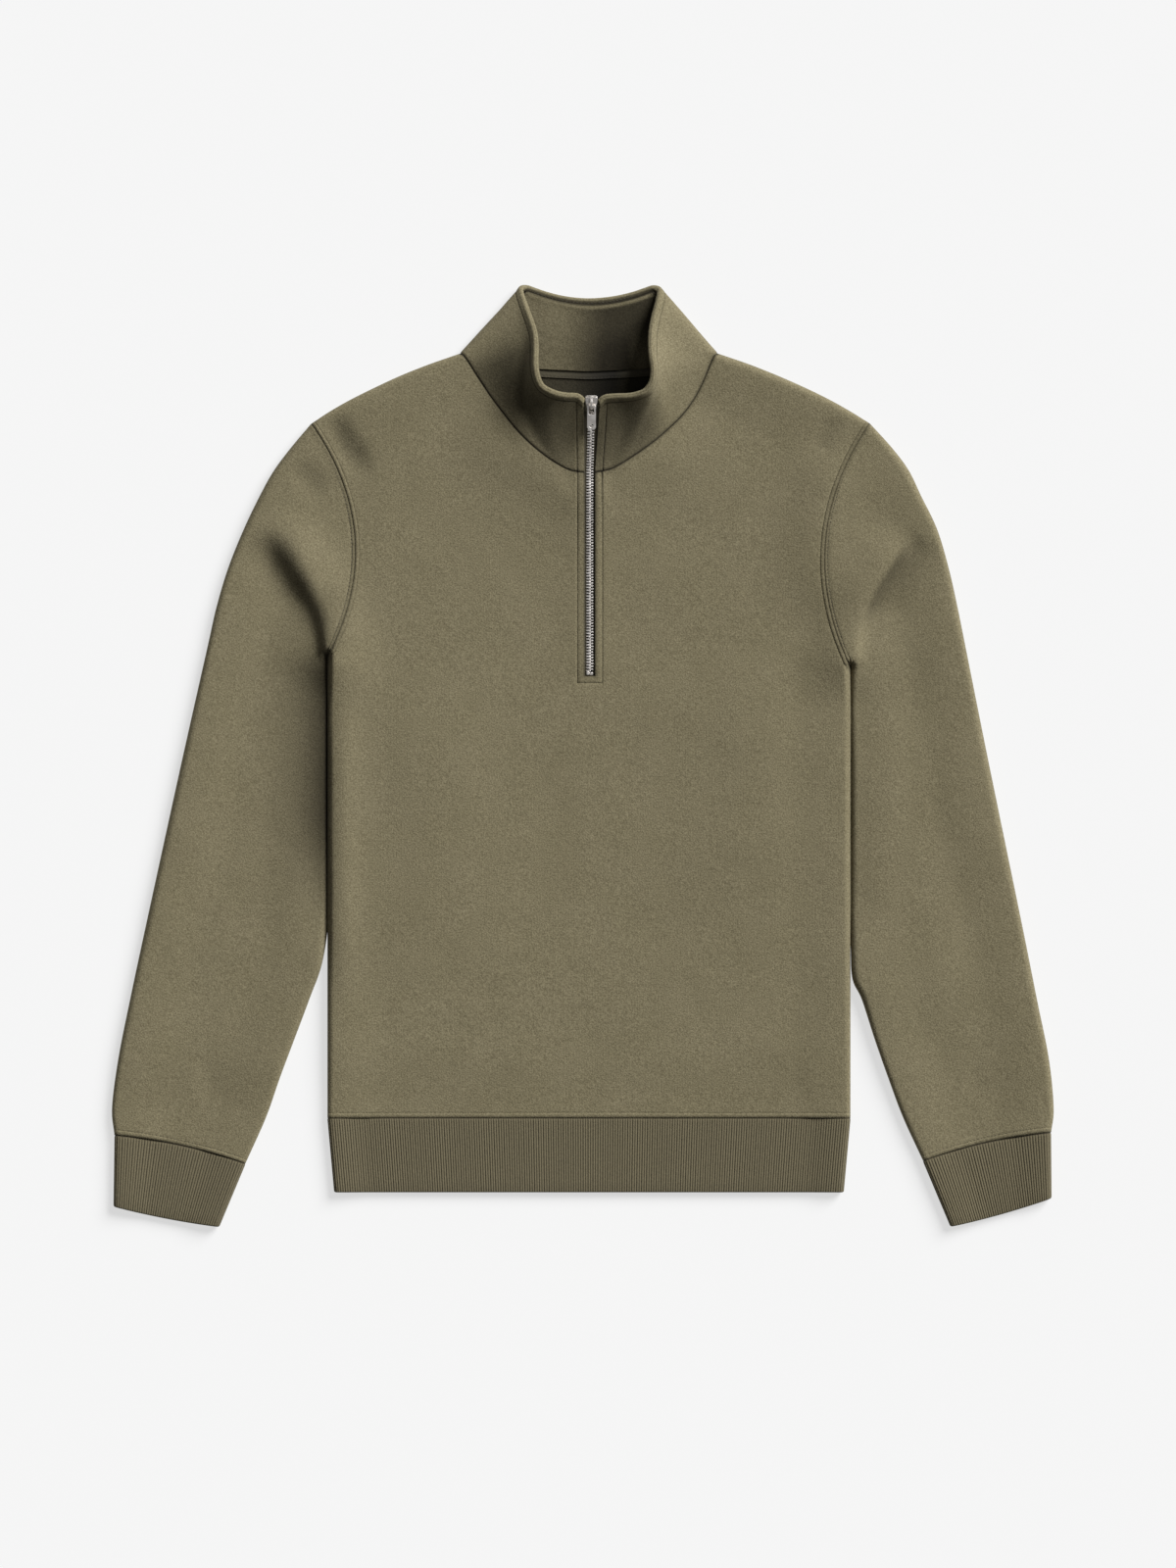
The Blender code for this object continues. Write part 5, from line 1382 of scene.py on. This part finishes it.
def fleeceMaterial(name):
    material, nodes, links, shader = newMaterial(name, 0.92)
    place = objectPlace(nodes)
    grain = noiseNode(nodes, links, place, finish["grain"], 3.0, 0.7)
    nap = noiseNode(nodes, links, place, finish["nap"], 2.0)
    mottle = noiseNode(nodes, links, place, finish["mottle"], 3.0)
    color = rampNode(nodes, links, grain, 0.34, 0.68, finish[name + "Dark"], finish[name])
    brushed = rampNode(nodes, links, nap, 0.32, 0.68, (0.95, 0.95, 0.945), (1.02, 1.02, 1.02))
    cloudy = rampNode(nodes, links, mottle, 0.3, 0.7, (0.93, 0.93, 0.91), (1.0, 1.0, 1.0))
    # painted shade: the seamShade or insideShade attribute darkens the colour towards deepShade
    shade = attributeNode(nodes, "insideShade" if name == "inside" else "seamShade")
    dark = rampNode(nodes, links, shade, 0.0, 1.0, (1.0, 1.0, 1.0), finish["deepShade"])
    for layer in (brushed, cloudy, dark):
        color = mixNode(nodes, links, 1.0, color, layer)
    links.new(color, shader.inputs["Base Color"])
    shader.inputs["Sheen Weight"].default_value = 0.18
    shader.inputs["Sheen Roughness"].default_value = 0.5
    shader.inputs["Sheen Tint"].default_value = (0.62, 0.57, 0.42, 1.0)
    shader.inputs["Specular IOR Level"].default_value = 0.2
    # the knit's wales, faint, run up each piece
    run = nodes.new("ShaderNodeUVMap")
    run.uv_map = "cloth"
    wales = waveNode(nodes, links, run.outputs["UV"], finish["wale"], 'X', 1.2)
    bump = bumpNode(nodes, links, wales, 0.14, 0.25)
    bump = bumpNode(nodes, links, nap, 0.35, 0.6, bump)
    links.new(bumpNode(nodes, links, grain, 0.7, 0.5, bump), shader.inputs["Normal"])
    return material


def ribMaterial():
    material, nodes, links, shader = newMaterial("ribKnit", 0.94)
    place = objectPlace(nodes)
    grain = noiseNode(nodes, links, place, 1.4, 2.0, 0.6)
    # painted shade: the furrows between the ribs and the band's foot by its seam are painted darker
    depth = attributeNode(nodes, "ribDepth")
    color = rampNode(nodes, links, depth, 0.15, 0.85, finish["ribFurrow"], finish["rib"])
    spotted = rampNode(nodes, links, grain, 0.3, 0.7, (0.78, 0.78, 0.78), (1.0, 1.0, 1.0))
    links.new(mixNode(nodes, links, 1.0, color, spotted), shader.inputs["Base Color"])
    shader.inputs["Sheen Weight"].default_value = 0.12
    shader.inputs["Specular IOR Level"].default_value = 0.2
    links.new(bumpNode(nodes, links, grain, 0.35, 0.35), shader.inputs["Normal"])
    return material


def tapeMaterial(name):
    material, nodes, links, shader = newMaterial(name, 0.8)
    place = objectPlace(nodes)
    grain = noiseNode(nodes, links, place, 0.9, 2.0)
    base = finish[name]
    color = rampNode(nodes, links, grain, 0.3, 0.7, tuple(0.65 * value for value in base), base)
    # painted shade: the insideShade attribute darkens the colour towards deepShade
    shade = attributeNode(nodes, "insideShade")
    dark = rampNode(nodes, links, shade, 0.0, 1.0, (1.0, 1.0, 1.0), finish["deepShade"])
    links.new(mixNode(nodes, links, 1.0, color, dark), shader.inputs["Base Color"])
    links.new(bumpNode(nodes, links, grain, 0.5, 0.3), shader.inputs["Normal"])
    return material


# painted shade: the thread is much darker than the cloth, standing for the dark needle holes along the stitching
def threadMaterial():
    material, nodes, links, shader = newMaterial("thread", 0.6)
    place = objectPlace(nodes)
    grain = noiseNode(nodes, links, place, 0.5, 1.0)
    base = finish["thread"]
    color = rampNode(nodes, links, grain, 0.3, 0.7, tuple(0.7 * value for value in base), base)
    links.new(color, shader.inputs["Base Color"])
    links.new(bumpNode(nodes, links, grain, 0.4, 0.1), shader.inputs["Normal"])
    return material


def metalMaterial():
    material, nodes, links, shader = newMaterial("zipMetal", 0.4, 0.75)
    place = objectPlace(nodes)
    stain = noiseNode(nodes, links, place, 5.0, 3.0)
    color = rampNode(nodes, links, stain, 0.3, 0.7, finish["metalShade"], finish["metal"])
    links.new(color, shader.inputs["Base Color"])
    rough = nodes.new("ShaderNodeMapRange")
    rough.inputs["To Min"].default_value = 0.34
    rough.inputs["To Max"].default_value = 0.5
    links.new(stain, rough.inputs["Value"])
    links.new(rough.outputs["Result"], shader.inputs["Roughness"])
    scratches = noiseNode(nodes, links, place, 0.6, 2.0)
    links.new(bumpNode(nodes, links, scratches, 0.15, 0.05), shader.inputs["Normal"])
    return material


def finishPiece(piece, slot, *nodes):
    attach(piece, "garment")
    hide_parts(*nodes)
    return piece


fleece, inside = fleeceMaterial("fleece"), fleeceMaterial("inside")
rib, thread, metal = ribMaterial(), threadMaterial(), metalMaterial()
tape, neckWeb = tapeMaterial("tape"), tapeMaterial("neckTape")

print("body and sleeves")
front = finishPiece(addPanel("frontCloth", frontNeck, True, 0, 3.3, fleece, inside), "fleece", "front")
back = finishPiece(addPanel("backCloth", backNeck, False, 1, 5.0, fleece, inside), "fleece", "back")
sleeves = [finishPiece(addSleeve(side, fleece), "fleece", "sleeve_" + side["name"]) for side in sides]

print("hem and cuffs")
hemY = garment["hemSeamY"] - garment["seamGap"] / 2
hem = addRibBand("hemRib", ((-garment["sideX"], hemY), (garment["sideX"], hemY)),
                 ((-garment["hemEdgeX"], 0.0), (garment["hemEdgeX"], 0.0)), (0.0, 0.0), rib)
finishPiece(hem, "rib", "hem_band")
for side in sides:
    wrist = np.array([side["outer"][-1], side["inner"][-1]]) - (0.0, garment["seamGap"])
    cuff = addRibBand("cuffRib_" + side["name"], wrist, side["cuffEdge"], garment["cuffBow"], rib)
    finishPiece(cuff, "rib", "cuff_" + side["name"])

print("collar")
collarCloth = finishPiece(addCollar(fleece), "fleece", "collar")
facing = finishPiece(addFacing(fleece), "fleece", "collar_facing")
neckTapeCloth = finishPiece(addNeckTape(neckWeb), "tape", "neck_tape")

print("zip")
tapes = [finishPiece(addZipTape(side, tape), "tape", "zip_tape_" + side["name"]) for side in sides]
addTeeth(metal)
addStop(metal)
addTopStops(metal)
addSlider(metal)
addPullTab(metal)

print("stitching")
addBodyStitching(thread)
addCollarStitching(thread)
addNeckTapeStitching(thread)


view = {"middle": (0.0045, -0.0241), "height": 9.0, "shown": 1.312}
light = {"from": 44.0, "height": 32.0, "softness": 34.0, "power": 5.35, "world": 0.14}   # angles in degrees
floorLook = {"color": (0.26, 0.26, 0.26, 1.0), "glow": 0.632}

print("floor, camera and light")
floor = addObject("floor", bpy.data.meshes.new("floor"))
floor.data.from_pydata([(-4, -4, 0), (4, -4, 0), (4, 4, 0), (-4, 4, 0)], [], [(0, 1, 2, 3)])
paper, nodes, links, shader = newMaterial("paleFloor", 0.9)
shader.inputs["Base Color"].default_value = floorLook["color"]
shader.inputs["Emission Color"].default_value = (1.0, 1.0, 1.0, 1.0)
shader.inputs["Emission Strength"].default_value = floorLook["glow"]
floor.data.materials.append(paper)

camera = addObject("camera", bpy.data.cameras.new("camera"))
camera.location = (*view["middle"], view["height"])
camera.data.sensor_fit = 'VERTICAL'
camera.data.sensor_height = 36.0
camera.data.lens = 36.0 * view["height"] / view["shown"]
bpy.context.scene.camera = camera
scene.view_settings.view_transform = 'Standard'

sun = addObject("softLight", bpy.data.lights.new("softLight", 'SUN'))
sun.data.angle = math.radians(light["softness"])
sun.data.energy = light["power"]
sun.rotation_euler = (math.radians(90.0 - light["height"]), 0.0, math.radians(90.0 + light["from"]))
world = bpy.data.worlds.new("softRoom")
scene.world = world
world.use_nodes = True
world.node_tree.nodes["Background"].inputs["Color"].default_value = (1.0, 1.0, 1.0, 1.0)
world.node_tree.nodes["Background"].inputs["Strength"].default_value = light["world"]
